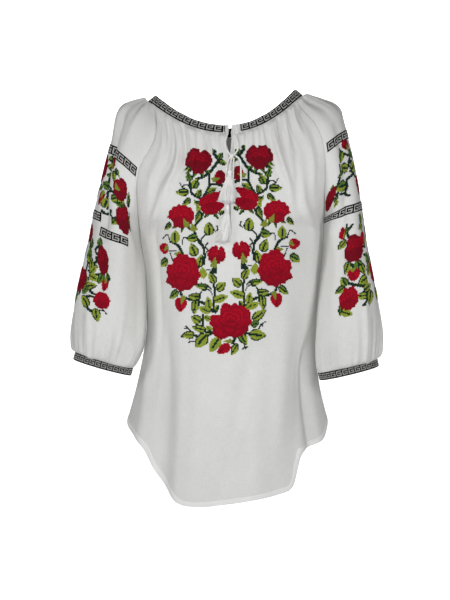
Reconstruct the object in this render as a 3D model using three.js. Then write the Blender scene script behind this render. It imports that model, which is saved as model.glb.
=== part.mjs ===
// A peasant blouse of thin cloth, filled out as if worn, with no wearer in it.
// Millimetres, +Z up. The front faces -Y and the wearer's left side is at +X.
// The origin is the middle of the neck opening, level with its two high points.
//
// Every cloth piece is one sheet: a grid of points whose rows run down the garment (v is 0
// at the neck, 1 at the armpit and 2 at the hem or cuff) and whose columns run round it,
// counter-clockwise seen from above. The grid is then given its wall.
import * as THREE from "three";

// ---------------------------------------------------------------- driving dimensions
const WALL = 1.5; // thickness of the cloth walls
const SETBACK = 0.2; // each sewn edge stands back by this, so a seam is an open line
const LINE_X = 3; // the centre front, its slit and the back's middle lie at this x

const BAND = {
  height: 16, // neck band, measured along the cloth
  wall: 2.2,
  gapLeft: -3.6, // degrees from the centre front to its two ends
  gapRight: 7.8,
  steps: 64,
};
const NECK = {
  rightWidth: 126, // from the centre line to the band's top edge, wearer's right (-X)
  leftWidth: 111, // and wearer's left (+X)
  frontDepth: 92,
  backDepth: 78,
  frontDip: 67, // how far the top edge dips below its high points
  backDip: 50,
  dipPower: 2.1,
  roll: 0.044, // the whole neckline is this much higher towards +X
  sideSlope: 40, // slope of the band below level, in degrees, at the shoulder
  frontSlope: 55,
  backSlope: 65,
};
const RAGLAN_ANGLE = 66; // the raglan seams meet the band at this angle from the middles
const CUFF = { height: 12, wall: 2.4, gap: 0.4, steps: 26 };
const HEM_SIDE_Z = -556; // height of the hem at the side seams
const ARMPIT_STEP = 0.5; // the sleeve's armpit corner stands off the body by this
const CORD = 3; // diameter of the ties

// ---------------------------------------------------------------- rows and columns
const ROWS = [
  0, 0.05, 0.12, 0.22, 0.35, 0.5, 0.66, 0.8, 0.9, 1, 1.16, 1.34, 1.54, 1.76, 1.92, 2,
];
const ARMPIT_ROW = ROWS.indexOf(1);
const LAST_ROW = ROWS.length - 1;
const COLUMNS = { front: 44, back: 30, sleeve: 24 };

// ---------------------------------------------------------------- section tables
// Sleeves, a row for each section from the neck to the cuff. The section is an arc of an
// ellipse: top is its crest over the arm, seam is where its two ends are sewn (the raglan
// seams down to the armpit, then the underarm seam), halfDepth its front-to-back radius,
// open the angle from the crest to its ends and midY the y of its crest.
// x is measured outwards from the middle of the body on both sides.
const SLEEVE_COLUMNS = ["v", "topX", "topZ", "seamX", "seamZ", "halfDepth", "open", "midY"];
const LEFT_SLEEVE = readTable(SLEEVE_COLUMNS, [
  [0.0, 126, -5, 116, -16, 55, 50, 0],
  [0.12, 141, -12, 121, -31, 60, 60, 0],
  [0.25, 158, -17, 129, -43, 67, 72, 0],
  [0.4, 177, -22, 140, -58, 75.5, 83, 0],
  [0.52, 190, -31, 148, -74, 82, 90, 0],
  [0.62, 196, -49, 154, -90, 86, 95, 0],
  [0.72, 204, -80, 158, -113, 89, 102, 0],
  [0.82, 213, -115, 159, -145, 88, 112, 0],
  [0.92, 221, -158, 159, -188, 82, 131, 0],
  [1.0, 228, -203, 161, -228, 74, 180, 0],
  [1.2, 233.5, -253, 159.5, -277, 67, 180, -14],
  [1.4, 241, -304, 153, -329, 66, 180, -24],
  [1.6, 248.5, -353, 148.5, -378, 65, 180, -32],
  [1.8, 253.5, -402, 147, -427, 61, 180, -36],
  [1.93, 252, -436, 149, -460, 50, 180, -38],
  [2.0, 248.5, -450, 151, -474, 44, 180, -38],
]);
const RIGHT_SLEEVE = readTable(SLEEVE_COLUMNS, [
  [0.0, 134, -16, 122, -26, 55, 50, 0],
  [0.12, 149, -17.5, 119, -46, 60, 60, 0],
  [0.25, 166, -20.5, 118, -63, 66, 72, 0],
  [0.4, 180, -26, 120, -84, 74, 83, 0],
  [0.52, 189, -39, 127, -103, 80, 90, 0],
  [0.62, 194, -62, 137, -120, 83, 95, 0],
  [0.72, 198, -85, 145, -138, 86, 102, 0],
  [0.82, 207, -118, 149, -164, 86, 112, 0],
  [0.92, 217, -160, 149, -207, 80, 131, 0],
  [1.0, 228, -206, 146, -250, 72, 180, 0],
  [1.2, 235, -254, 139.5, -294, 65, 180, -16],
  [1.4, 244.5, -303, 137, -340, 65, 180, -25],
  [1.6, 254.5, -353, 136.5, -386, 64, 180, -32],
  [1.8, 257.5, -400, 142, -429, 60, 180, -36],
  [1.93, 256, -428, 153, -455, 50, 180, -38],
  [2.0, 254, -439, 159, -466, 44, 180, -38],
]);

// Middle lines of the front and back, with the turn of each row: the angle through which
// it bends from the middle to its edge.
const MIDDLE_COLUMNS = ["v", "y", "z", "turn"];
const FRONT_MIDDLE = readTable(MIDDLE_COLUMNS, [
  [0.0, -101, -80, 62],
  [0.12, -107.5, -101, 60],
  [0.25, -112, -122, 59],
  [0.4, -116, -146, 60],
  [0.62, -120, -181, 63],
  [0.82, -122, -212, 70],
  [1.0, -122, -240, 90],
  [1.2, -118, -330, 90],
  [1.4, -113, -419, 90],
  [1.6, -109, -508, 90],
  [1.8, -107, -598, 90],
  [2.0, -105, -687, 90],
]);
const BACK_MIDDLE = readTable(MIDDLE_COLUMNS, [
  [0.0, 85, -64.5, 62],
  [0.12, 91, -86, 60],
  [0.25, 95, -108, 59],
  [0.4, 99, -134, 60],
  [0.62, 102, -172, 63],
  [0.82, 103, -205, 70],
  [1.0, 102, -240, 90],
  [1.2, 97, -330, 90],
  [1.4, 94, -420, 90],
  [1.6, 95, -509, 90],
  [1.8, 97, -597, 90],
  [2.0, 98, -680, 90],
]);
// Side seams, from the armpit to the hem, outwards from the middle of the body.
const SIDE = readTable(["v", "rightX", "leftX", "y"], [
  [1.0, 146, 161, 0],
  [1.08, 141, 158.5, 3],
  [1.2, 137.5, 155.5, 5],
  [1.4, 136.5, 151, 7],
  [1.6, 143, 148, 8],
  [1.8, 155, 155, 8],
  [2.0, 171.5, 170, 8],
]);

// The hem, from the -X side seam to the +X one: how far it has climbed from the middle's
// height (0) to the side seams' (1).
const HEM_COLUMNS = ["t", "climb"];
const FRONT_HEM = readTable(HEM_COLUMNS, [
  [-1.0, 1],
  [-0.85, 0.91],
  [-0.72, 0.82],
  [-0.6, 0.67],
  [-0.52, 0.44],
  [-0.44, 0.25],
  [-0.34, 0.05],
  [-0.26, 0],
  [-0.1, 0],
  [0.12, 0.07],
  [0.34, 0.15],
  [0.43, 0.24],
  [0.49, 0.57],
  [0.54, 0.66],
  [0.62, 0.7],
  [0.78, 0.79],
  [0.9, 0.93],
  [1.0, 1],
]);
const BACK_HEM = readTable(HEM_COLUMNS, [
  [-1.0, 1],
  [-0.84, 0.96],
  [-0.66, 0.74],
  [-0.5, 0.42],
  [-0.34, 0.1],
  [-0.2, 0],
  [0.2, 0],
  [0.34, 0.1],
  [0.5, 0.42],
  [0.66, 0.74],
  [0.84, 0.96],
  [1.0, 1],
]);

// The largest folds, placed by hand: a soft ridge (rise above 0) or trough (below 0) that
// runs from column place t0 at row v0 to t1 at v1; width is its half width in t.
const FOLD_COLUMNS = ["v0", "t0", "v1", "t1", "width", "rise"];
const FOLDS = {
  front: readRows(FOLD_COLUMNS, [
    [1.5, 0.55, 2.0, 0.46, 0.05, 5],
    [1.42, 0.7, 2.0, 0.62, 0.07, -13],
    [1.25, -0.56, 2.0, -0.44, 0.07, -9],
    [1.55, -0.74, 2.0, -0.66, 0.07, 5],
    [1.2, -0.22, 2.0, -0.26, 0.07, 3],
    [1.15, 0.2, 2.0, 0.16, 0.08, 3],
    [0.1, 0.62, 1.3, 0.66, 0.05, 4],
    [0.1, -0.66, 1.2, -0.66, 0.05, 3],
  ]),
  back: readRows(FOLD_COLUMNS, [
    [1.2, -0.55, 2.0, -0.5, 0.08, -8],
    [1.25, 0.58, 2.0, 0.5, 0.08, -9],
    [1.1, -0.2, 2.0, -0.24, 0.09, 4],
    [1.1, 0.24, 2.0, 0.2, 0.09, 4],
    [0.1, 0.6, 1.2, 0.7, 0.06, 4],
    [0.1, -0.6, 1.2, -0.7, 0.06, 4],
  ]),
  left_sleeve: readRows(FOLD_COLUMNS, [
    [0.4, -0.62, 1.4, -0.5, 0.1, -6],
    [1.1, 0.5, 1.95, 0.4, 0.12, -6],
    [1.0, -0.25, 1.9, -0.2, 0.1, 4],
  ]),
  right_sleeve: readRows(FOLD_COLUMNS, [
    [0.3, 0.42, 1.25, 0.34, 0.07, -14],
    [1.2, -0.4, 1.95, -0.5, 0.12, -6],
    [1.1, 0.15, 1.9, 0.2, 0.1, 4],
  ]),
};

// Gathers: the number of pleats across a piece at the neck band and at the cuff.
const GATHERS = {
  front: { neck: 11, cuff: 0 },
  back: { neck: 8, cuff: 0 },
  left_sleeve: { neck: 5, cuff: 7 },
  right_sleeve: { neck: 5, cuff: 7 },
};
const GATHER_DEPTH = 3.2;

// ---------------------------------------------------------------- small helpers
function readRows(names, rows) {
  return rows.map((row) => Object.fromEntries(names.map((name, i) => [name, row[i]])));
}

// Each column of a table becomes a smooth function of the table's first column: a cubic
// through its values, whose slope at a value is that of the line between its neighbours.
function readTable(names, rows) {
  const at = rows.map((row) => row[0]);
  const last = rows.length - 1;
  const smooth = {};
  for (const [i, name] of names.entries()) {
    const value = rows.map((row) => row[i]);
    const slope = value.map((_, k) => {
      const before = Math.max(k - 1, 0);
      const after = Math.min(k + 1, last);
      return (value[after] - value[before]) / (at[after] - at[before]);
    });
    smooth[name] = (v) => {
      const k = Math.min(Math.max(at.findIndex((edge) => edge > v) - 1, 0), last - 1);
      const start = v >= at[last] ? last - 1 : k;
      const span = at[start + 1] - at[start];
      const u = (v - at[start]) / span;
      const rise = u * u * (3 - 2 * u);
      return (
        value[start] * (1 - rise) +
        value[start + 1] * rise +
        slope[start] * span * u * (1 - u) * (1 - u) -
        slope[start + 1] * span * u * u * (1 - u)
      );
    };
  }
  return smooth;
}

const radians = (degrees) => (degrees * Math.PI) / 180;
const clamp01 = (x) => Math.min(Math.max(x, 0), 1);
const mix = (a, b, share) => a + (b - a) * share;

function ease(from, to, x) {
  const u = clamp01((x - from) / (to - from));
  return u * u * (3 - 2 * u);
}

// ---------------------------------------------------------------- the neckline
// A point of the neckline at an angle from the centre front, counter-clockwise from above,
// moved down the band's slope by a distance, and the outward direction there.
function neckPoint(degrees, down) {
  const angle = radians(degrees);
  const side = Math.sin(angle);
  const front = Math.cos(angle);
  const width = side > 0 ? NECK.leftWidth : NECK.rightWidth;
  const depth = front > 0 ? NECK.frontDepth : NECK.backDepth;
  const dip = front > 0 ? NECK.frontDip : NECK.backDip;
  const steep = front > 0 ? NECK.frontSlope : NECK.backSlope;
  const slope = radians(mix(NECK.sideSlope, steep, front * front));
  const x = LINE_X + width * side;
  const out = Math.cos(slope) * down;
  return {
    point: new THREE.Vector3(
      x + side * out,
      -depth * front - front * out,
      -dip * (1 - Math.abs(side) ** NECK.dipPower) + NECK.roll * x - Math.sin(slope) * down,
    ),
    outward: new THREE.Vector3(
      Math.sin(slope) * side,
      -Math.sin(slope) * front,
      Math.cos(slope),
    ),
  };
}

// ---------------------------------------------------------------- surfaces
// Near the neck a surface is drawn onto the band's lower edge: the difference between the
// edge and its first section is added, fading out over the first rows.
const NECK_FADE = 0.35;
const meetNeck = (v) => 1 - ease(0, NECK_FADE, v);

// sign is +1 for the sleeve at +X, -1 at -X; p runs from -1 at the front to 1 at the back.
function sleeveSection(table, sign, p, v) {
  const topX = table.topX(v);
  const topZ = table.topZ(v);
  const acrossX = topX - table.seamX(v);
  const acrossZ = topZ - table.seamZ(v);
  const open = radians(table.open(v));
  const fall = (1 - Math.cos(open * p)) / (1 - Math.cos(open));
  return new THREE.Vector3(
    sign * (topX - acrossX * fall),
    table.midY(v) + table.halfDepth(v) * Math.sin(open * p),
    topZ - acrossZ * fall,
  );
}

function sleevePoint(table, sign, p, v) {
  const edge = neckPoint(sign * (90 + (90 - RAGLAN_ANGLE) * p), BAND.height).point;
  const pull = edge.sub(sleeveSection(table, sign, p, 0)).multiplyScalar(meetNeck(v));
  return sleeveSection(table, sign, p, v).add(pull);
}

// The edge of a body panel: the raglan seam down to the armpit, then the side seam.
function panelEdge(sign, p, v) {
  const table = sign > 0 ? LEFT_SLEEVE : RIGHT_SLEEVE;
  if (v <= 1) {
    return sleevePoint(table, sign, p, v);
  }
  const x = sign > 0 ? SIDE.leftX(v) : SIDE.rightX(v);
  return new THREE.Vector3(sign * x, SIDE.y(v), mix(table.seamZ(1), HEM_SIDE_Z, v - 1));
}

// How far a row has climbed from its middle to its edge, at the share t of a half width:
// a smooth bowl at the neck, the curve of the shirt tail at the hem.
function climb(hem, t, v) {
  return mix(Math.abs(t) ** NECK.dipPower, hem.climb(t), ease(1, 1.9, v));
}

// face is -1 for the front, +1 for the back; t runs from -1 at -X to 1 at +X.
function panelSection(face, t, v) {
  const middle = face < 0 ? FRONT_MIDDLE : BACK_MIDDLE;
  const hem = face < 0 ? FRONT_HEM : BACK_HEM;
  const edge = panelEdge(t < 0 ? -1 : 1, face, v);
  const turn = radians(middle.turn(v));
  const reach = Math.sin(turn * Math.abs(t)) / Math.sin(turn);
  const fall = (Math.cos(turn * t) - Math.cos(turn)) / (1 - Math.cos(turn));
  return new THREE.Vector3(
    mix(LINE_X, edge.x, reach),
    mix(edge.y, middle.y(v), fall),
    mix(middle.z(v), edge.z, climb(hem, t, v)),
  );
}

function panelPoint(face, t, v) {
  const degrees = face < 0 ? RAGLAN_ANGLE * t : 180 - RAGLAN_ANGLE * t;
  const edge = neckPoint(degrees, BAND.height).point;
  const pull = edge.sub(panelSection(face, t, 0)).multiplyScalar(meetNeck(v));
  return panelSection(face, t, v).add(pull);
}

// Height of the gathers and folds above the plain surface, nought along every seam.
function foldHeight(name, t, v) {
  const gathers = GATHERS[name];
  const across = (t + 1) / 2 + 0.012 * Math.sin(9 * t);
  const wave = (count) =>
    0.6 * Math.sin(2 * Math.PI * count * across) +
    0.4 * Math.sin(2 * Math.PI * 0.61 * count * across + 1.3);
  const neck = ease(0, 0.06, v) * (1 - ease(0.1, 0.85, v)) * (wave(gathers.neck) + 0.6);
  const cuff = gathers.cuff ? ease(1.62, 1.92, v) * (1 - ease(1.93, 2, v)) : 0;
  let height = GATHER_DEPTH * (neck + cuff * wave(gathers.cuff));
  for (const fold of FOLDS[name]) {
    const along = (v - fold.v0) / (fold.v1 - fold.v0);
    const away = (t - mix(fold.t0, fold.t1, along)) / fold.width;
    const fade = fold.v1 < 2 ? 1 - ease(0.6, 1, along) : 1;
    height += fold.rise * ease(0, 0.4, along) * fade * Math.exp(-away * away);
  }
  return height * (1 - t ** 10);
}

// ---------------------------------------------------------------- sheets with a wall
// Outward directions of a grid: down the rows crossed with along the columns.
function gridNormals(points) {
  const lastRow = points.length - 1;
  return points.map((row, r) =>
    row.map((_, c) => {
      const last = row.length - 1;
      const up = points[Math.max(r - 1, 0)][c];
      const down = points[Math.min(r + 1, lastRow)][c];
      const before = row[Math.max(c - 1, 0)];
      const after = row[Math.min(c + 1, last)];
      const fall = down.clone().sub(up);
      return fall.cross(after.clone().sub(before)).normalize();
    }),
  );
}

function makeSheet(name, columns, surface) {
  const place = (c) => -1 + (2 * c) / columns;
  const count = Array.from({ length: columns + 1 }, (_, c) => c);
  const plain = ROWS.map((v) => count.map((c) => surface(place(c), v)));
  const lift = gridNormals(plain);
  const points = plain.map((row, r) =>
    row.map((point, c) => point.addScaledVector(lift[r][c], foldHeight(name, place(c), ROWS[r]))),
  );
  return { name, columns, points, normals: gridNormals(points) };
}

// The outward direction along a seam is the mean of its two pieces'.
function shareNormal(...corners) {
  const mean = new THREE.Vector3();
  for (const [sheet, r, c] of corners) {
    mean.add(sheet.normals[r][c]);
  }
  mean.normalize();
  for (const [sheet, r, c] of corners) {
    sheet.normals[r][c] = mean.clone();
  }
}

// Moves an edge point square to its edge, along the cloth, towards its own piece.
function standBack(point, normal, along, neighbour) {
  const step = normal.clone().cross(along).normalize();
  const towards = Math.sign(step.dot(neighbour.clone().sub(point)));
  return point.clone().addScaledVector(step, towards * SETBACK);
}

// Sewn edges stand back: both sides all the way, the neck row, and the last row if asked.
function openSeams(sheet, atLastRow) {
  const { points, normals, columns } = sheet;
  const old = points.map((row) => row.map((point) => point.clone()));
  const between = (list, i) => {
    const after = list[Math.min(i + 1, list.length - 1)];
    return after.clone().sub(list[Math.max(i - 1, 0)]);
  };
  for (const [edge, beside] of [[0, 1], [columns, columns - 1]]) {
    const line = old.map((row) => row[edge]);
    for (const [r, row] of points.entries()) {
      row[edge] = standBack(row[edge], normals[r][edge], between(line, r), old[r][beside]);
    }
  }
  const ends = atLastRow ? [[0, 1], [LAST_ROW, LAST_ROW - 1]] : [[0, 1]];
  for (const [edge, beside] of ends) {
    points[edge] = points[edge].map((point, c) =>
      standBack(point, normals[edge][c], between(old[edge], c), old[beside][c]),
    );
  }
}

// A closed solid from an open surface: the surface, a copy one wall inside it, and a strip
// along every edge that only one triangle uses.
function thicken(points, normals, faces, wall) {
  const inner = points.map((point, i) => point.clone().addScaledVector(normals[i], -wall));
  const count = points.length;
  const edges = new Set(faces.flatMap(([a, b, c]) => [`${a},${b}`, `${b},${c}`, `${c},${a}`]));
  const solid = [];
  for (const [a, b, c] of faces) {
    solid.push([a, b, c], [a + count, c + count, b + count]);
  }
  for (const edge of edges) {
    const [a, b] = edge.split(",").map(Number);
    if (edges.has(`${b},${a}`)) {
      continue;
    }
    // The strip is split from its higher end, so two sewn edges twist alike.
    if (points[a].z > points[b].z) {
      solid.push([b, a, b + count], [a, a + count, b + count]);
    } else {
      solid.push([b, a, a + count], [b, a + count, b + count]);
    }
  }
  return solidGeometry([...points, ...inner], solid);
}

function solidGeometry(points, faces) {
  const geometry = new THREE.BufferGeometry();
  const flat = points.flatMap((point) => [point.x, point.y, point.z]);
  geometry.setAttribute("position", new THREE.Float32BufferAttribute(flat, 3));
  geometry.setIndex(faces.flat());
  geometry.computeVertexNormals();
  return geometry;
}

// A grid of points as one list with its triangles. slit names a column whose points are
// doubled above a row, one copy for each side, each moved off by the slit's half width.
function sheetGeometry(sheet, slit) {
  const width = sheet.columns + 1;
  const points = sheet.points.flat();
  const normals = sheet.normals.flat();
  const faces = [];
  const right = new Map();
  if (slit) {
    for (let r = 0; r < slit.endRow; r += 1) {
      const i = r * width + slit.column;
      const half = slit.halfWidth(ROWS[r]);
      right.set(i, points.length);
      points.push(points[i].clone().add(new THREE.Vector3(half, 0, 0)));
      normals.push(normals[i]);
      points[i] = points[i].clone().add(new THREE.Vector3(-half, 0, 0));
    }
  }
  for (let r = 0; r < sheet.points.length - 1; r += 1) {
    for (let c = 0; c < sheet.columns; c += 1) {
      const isRight = slit && c === slit.column;
      const own = (i) => (isRight && right.has(i) ? right.get(i) : i);
      const a = own(r * width + c);
      const b = r * width + c + 1;
      const d = own((r + 1) * width + c);
      const e = (r + 1) * width + c + 1;
      faces.push([a, d, b], [b, d, e]);
    }
  }
  return thicken(points, normals, faces, WALL);
}

// ---------------------------------------------------------------- materials and meshes
function cloth(colour, roughness) {
  return new THREE.MeshStandardMaterial({ color: colour, roughness, metalness: 0 });
}

const group = new THREE.Group();

function add(name, geometry, material) {
  const mesh = new THREE.Mesh(geometry, material);
  mesh.name = name;
  group.add(mesh);
}

const linen = cloth(0xe4e4e0, 0.9);
const bandCloth = cloth(0x1c1b1a, 0.85);
const cordYarn = cloth(0xf0efeb, 0.8);

// ---------------------------------------------------------------- front, back and sleeves
// Columns run counter-clockwise from above, so the back is read from +X to -X and the
// sleeve at -X from its back to its front.
const front = makeSheet("front", COLUMNS.front, (t, v) => panelPoint(-1, t, v));
const back = makeSheet("back", COLUMNS.back, (t, v) => panelPoint(1, -t, v));
const leftSleeve = makeSheet("left_sleeve", COLUMNS.sleeve, (p, v) =>
  sleevePoint(LEFT_SLEEVE, 1, p, v),
);
const rightSleeve = makeSheet("right_sleeve", COLUMNS.sleeve, (p, v) =>
  sleevePoint(RIGHT_SLEEVE, -1, -p, v),
);

// Between the band's two ends the front's own cloth stands up to the top of the neck.
const RAISED_FROM = -1.5;
const RAISED_TO = 4;
front.points[0] = front.points[0].map((point, c) => {
  const degrees = RAGLAN_ANGLE * (-1 + (2 * c) / front.columns);
  const raised = degrees > RAISED_FROM && degrees < RAISED_TO;
  return raised ? neckPoint(degrees, 0).point : point;
});

const ring = [front, leftSleeve, back, rightSleeve];
for (const [i, piece] of ring.entries()) {
  const next = ring[(i + 1) % ring.length];
  for (let r = 0; r < ARMPIT_ROW; r += 1) {
    shareNormal([piece, r, piece.columns], [next, r, 0]);
  }
}
for (let r = ARMPIT_ROW; r <= LAST_ROW; r += 1) {
  shareNormal([front, r, front.columns], [back, r, 0]);
  shareNormal([back, r, back.columns], [front, r, 0]);
  shareNormal([leftSleeve, r, 0], [leftSleeve, r, leftSleeve.columns]);
  shareNormal([rightSleeve, r, 0], [rightSleeve, r, rightSleeve.columns]);
}

// The neck row takes the band's own outward direction.
const NECK_ANGLE = {
  front: (t) => RAGLAN_ANGLE * t,
  back: (t) => 180 + RAGLAN_ANGLE * t,
  left_sleeve: (t) => 90 + (90 - RAGLAN_ANGLE) * t,
  right_sleeve: (t) => 270 + (90 - RAGLAN_ANGLE) * t,
};
for (const sheet of ring) {
  sheet.normals[0] = sheet.normals[0].map((_, c) => {
    const t = -1 + (2 * c) / sheet.columns;
    return neckPoint(NECK_ANGLE[sheet.name](t), 0).outward;
  });
}
for (const sheet of ring) {
  openSeams(sheet, sheet.name.endsWith("sleeve"));
}
for (const [sheet, sign] of [[leftSleeve, 1], [rightSleeve, -1]]) {
  sheet.points[ARMPIT_ROW][0].x += sign * ARMPIT_STEP;
  sheet.points[ARMPIT_ROW][sheet.columns].x += sign * ARMPIT_STEP;
}

// The slit: a keyhole at the top, then two edges that lie side by side.
const slit = {
  column: front.columns / 2,
  endRow: ARMPIT_ROW,
  halfWidth: (v) => mix(2.1, 0.3, ease(0.12, 0.24, v)),
};
add("front", sheetGeometry(front, slit), linen);
add("back", sheetGeometry(back), linen);
add("left_sleeve", sheetGeometry(leftSleeve), linen);
add("right_sleeve", sheetGeometry(rightSleeve), linen);

// ---------------------------------------------------------------- neck band
function neckBand() {
  const from = BAND.gapRight;
  const to = 360 + BAND.gapLeft;
  const points = [];
  const normals = [];
  const faces = [];
  for (let i = 0; i <= BAND.steps; i += 1) {
    for (const down of [0, BAND.height - 0.15]) {
      const place = neckPoint(mix(from, to, i / BAND.steps), down);
      points.push(place.point);
      normals.push(place.outward);
    }
  }
  for (let i = 0; i < BAND.steps; i += 1) {
    const a = 2 * i;
    faces.push([a, a + 1, a + 2], [a + 2, a + 1, a + 3]);
  }
  return thicken(points, normals, faces, BAND.wall);
}
add("neck_band", neckBand(), bandCloth);

// ---------------------------------------------------------------- cuffs
// A closed band along the sleeve's last section, standing off it along the arm.
function cuff(table, sign) {
  const topX = table.topX(2);
  const topZ = table.topZ(2);
  const across = new THREE.Vector3(topX - table.seamX(2), 0, topZ - table.seamZ(2));
  const radius = across.length() / 2;
  across.normalize();
  const down = new THREE.Vector3(sign * across.z, 0, -across.x);
  across.x *= sign;
  const middle = new THREE.Vector3(sign * topX, table.midY(2), topZ);
  middle.addScaledVector(across, -radius);
  const points = [];
  const faces = [];
  const corners = [
    [0, CUFF.gap],
    [0, CUFF.gap + CUFF.height],
    [CUFF.wall, CUFF.gap + CUFF.height],
    [CUFF.wall, CUFF.gap],
  ];
  for (let i = 0; i < CUFF.steps; i += 1) {
    const angle = (sign * 2 * Math.PI * i) / CUFF.steps;
    for (const [inset, drop] of corners) {
      const point = middle.clone().addScaledVector(down, drop);
      point.addScaledVector(across, (radius - inset) * Math.cos(angle));
      point.y += (table.halfDepth(2) - inset) * Math.sin(angle);
      points.push(point);
    }
  }
  const size = corners.length;
  for (let i = 0; i < CUFF.steps; i += 1) {
    const next = (i + 1) % CUFF.steps;
    for (let k = 0; k < size; k += 1) {
      const a = i * size + k;
      const b = next * size + k;
      const c = i * size + ((k + 1) % size);
      const d = next * size + ((k + 1) % size);
      faces.push([a, c, b], [b, c, d]);
    }
  }
  return solidGeometry(points, faces);
}
add("left_cuff", cuff(LEFT_SLEEVE, 1), bandCloth);
add("right_cuff", cuff(RIGHT_SLEEVE, -1), bandCloth);

// ---------------------------------------------------------------- ties and tassels
// Two ties leave the band's ends and cross in a knot. One makes the loop, and both end in
// a tassel. Each route is a list of points chosen by hand.
const TIE_ROUTES = {
  right_tie: [
    [-1, -101, -75.5],
    [-1.5, -107.6, -84],
    [-4.5, -113.5, -96],
    [-3.6, -118, -107.5],
    [2, -120.2, -116.7],
  ],
  left_tie: [
    [8, -99.9, -76],
    [11, -108.4, -86.5],
    [15, -115, -98],
    [15.6, -118.5, -109],
    [10.95, -120.45, -117],
  ],
  tie_loop: [
    [11.9, -122.6, -120.4],
    [15.25, -123.1, -122.9],
    [17.94, -123.7, -125.66],
    [19.8, -124.4, -129.3],
    [20.42, -125.2, -133.3],
    [20.5, -127, -150],
    [20.5, -128, -163.7],
    [18.65, -128.3, -168.15],
    [14.2, -128.5, -170],
    [9.75, -128.3, -168.15],
    [7.9, -128, -163.7],
    [8, -127.5, -150],
    [8.5, -126, -136],
    [9.1, -123, -124.2],
  ],
  short_tail: [
    [5.7, -123.1, -124.1],
    [4, -129, -132],
    [2.4, -134.3, -142.3],
  ],
  long_tail: [
    [2.4, -121.5, -123.8],
    [-1.8, -124.5, -135],
    [-3.2, -126.2, -150],
    [-3, -127.2, -166],
    [-2.2, -127.8, -182],
    [-1.1, -128.4, -199.6],
  ],
};

function tieCord(route) {
  const path = new THREE.CatmullRomCurve3(route.map((place) => new THREE.Vector3(...place)));
  const section = new THREE.Shape();
  section.absarc(0, 0, CORD / 2, 0, 2 * Math.PI);
  const steps = Math.max(2, Math.round(path.getLength() / (2.4 * CORD)));
  return new THREE.ExtrudeGeometry(section, {
    curveSegments: 4,
    steps,
    extrudePath: path,
  });
}
for (const [name, route] of Object.entries(TIE_ROUTES)) {
  add(name, tieCord(route), cordYarn);
}

// A closed solid through level ellipses, from the top down, each given by its middle, radii
// and height.
function stack(sections, sides) {
  const points = [];
  const faces = [];
  for (const { x, y, z, wide, deep } of sections) {
    for (let i = 0; i < sides; i += 1) {
      const angle = (2 * Math.PI * i) / sides;
      points.push(new THREE.Vector3(x + wide * Math.cos(angle), y + deep * Math.sin(angle), z));
    }
  }
  const last = (sections.length - 1) * sides;
  for (let i = 0; i < sides; i += 1) {
    const next = (i + 1) % sides;
    for (let k = 0; k < last; k += sides) {
      faces.push([k + i, k + sides + i, k + next], [k + next, k + sides + i, k + sides + next]);
    }
    if (i > 0 && next > 0) {
      faces.push([0, i, next], [last, last + next, last + i]);
    }
  }
  return solidGeometry(points, faces);
}

const KNOT = { x: 6.2, y: -120.6, z: -120, wide: 5, deep: 3.6, high: 5 };
function knotGeometry() {
  const levels = [-0.94, -0.6, 0, 0.6, 0.94];
  const sections = levels.map((level) => {
    const share = Math.sqrt(1 - level * level);
    return {
      x: KNOT.x,
      y: KNOT.y,
      z: KNOT.z - level * KNOT.high,
      wide: KNOT.wide * share,
      deep: KNOT.deep * share,
    };
  });
  return stack(sections, 10);
}
add("tie_knot", knotGeometry(), cordYarn);

// A tassel: a round head, a bound neck and a skirt of threads that spreads and leans.
const TASSEL_COLUMNS = ["along", "wide", "deep", "lean"];
const TASSEL_SHAPE = readRows(TASSEL_COLUMNS, [
  [0.0, 0.14, 0.3, 0],
  [0.05, 0.3, 0.75, 0],
  [0.12, 0.3, 0.75, 0],
  [0.18, 0.22, 0.6, 0],
  [0.26, 0.42, 0.85, 0.05],
  [0.6, 0.78, 1, 0.4],
  [1.0, 1, 0.9, 1],
]);
function tassel({ x, y, top, length, halfWidth, halfDepth, lean }) {
  const sections = TASSEL_SHAPE.map((part) => ({
    x: x + lean * part.lean,
    y,
    z: top - length * part.along,
    wide: halfWidth * part.wide,
    deep: halfDepth * part.deep,
  }));
  return stack(sections, 12);
}
const TASSELS = {
  short_tassel: {
    x: 2.4, y: -134.6, top: -143.4, length: 56, halfWidth: 14, halfDepth: 4.6, lean: -4,
  },
  long_tassel: {
    x: -1.1, y: -128.5, top: -200, length: 63, halfWidth: 11.5, halfDepth: 4.4, lean: -8.5,
  },
};
for (const [name, shape] of Object.entries(TASSELS)) {
  add(name, tassel(shape), cordYarn);
}

export default group;
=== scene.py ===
# %% [markdown]
# # An embroidered peasant blouse
# The blouse is thin cotton cloth, filled out as if worn: a front, a back and two raglan
# sleeves gathered on to a meander band at the neck, with meander cuffs, tasselled ties and
# cross-stitched roses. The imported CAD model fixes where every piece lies. Here each of its
# walls gets a finer sheet of cloth on the same surface, and the needlework is laid on that.
# Lengths are written in millimetres and turned to metres when a mesh is made.

import math

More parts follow.
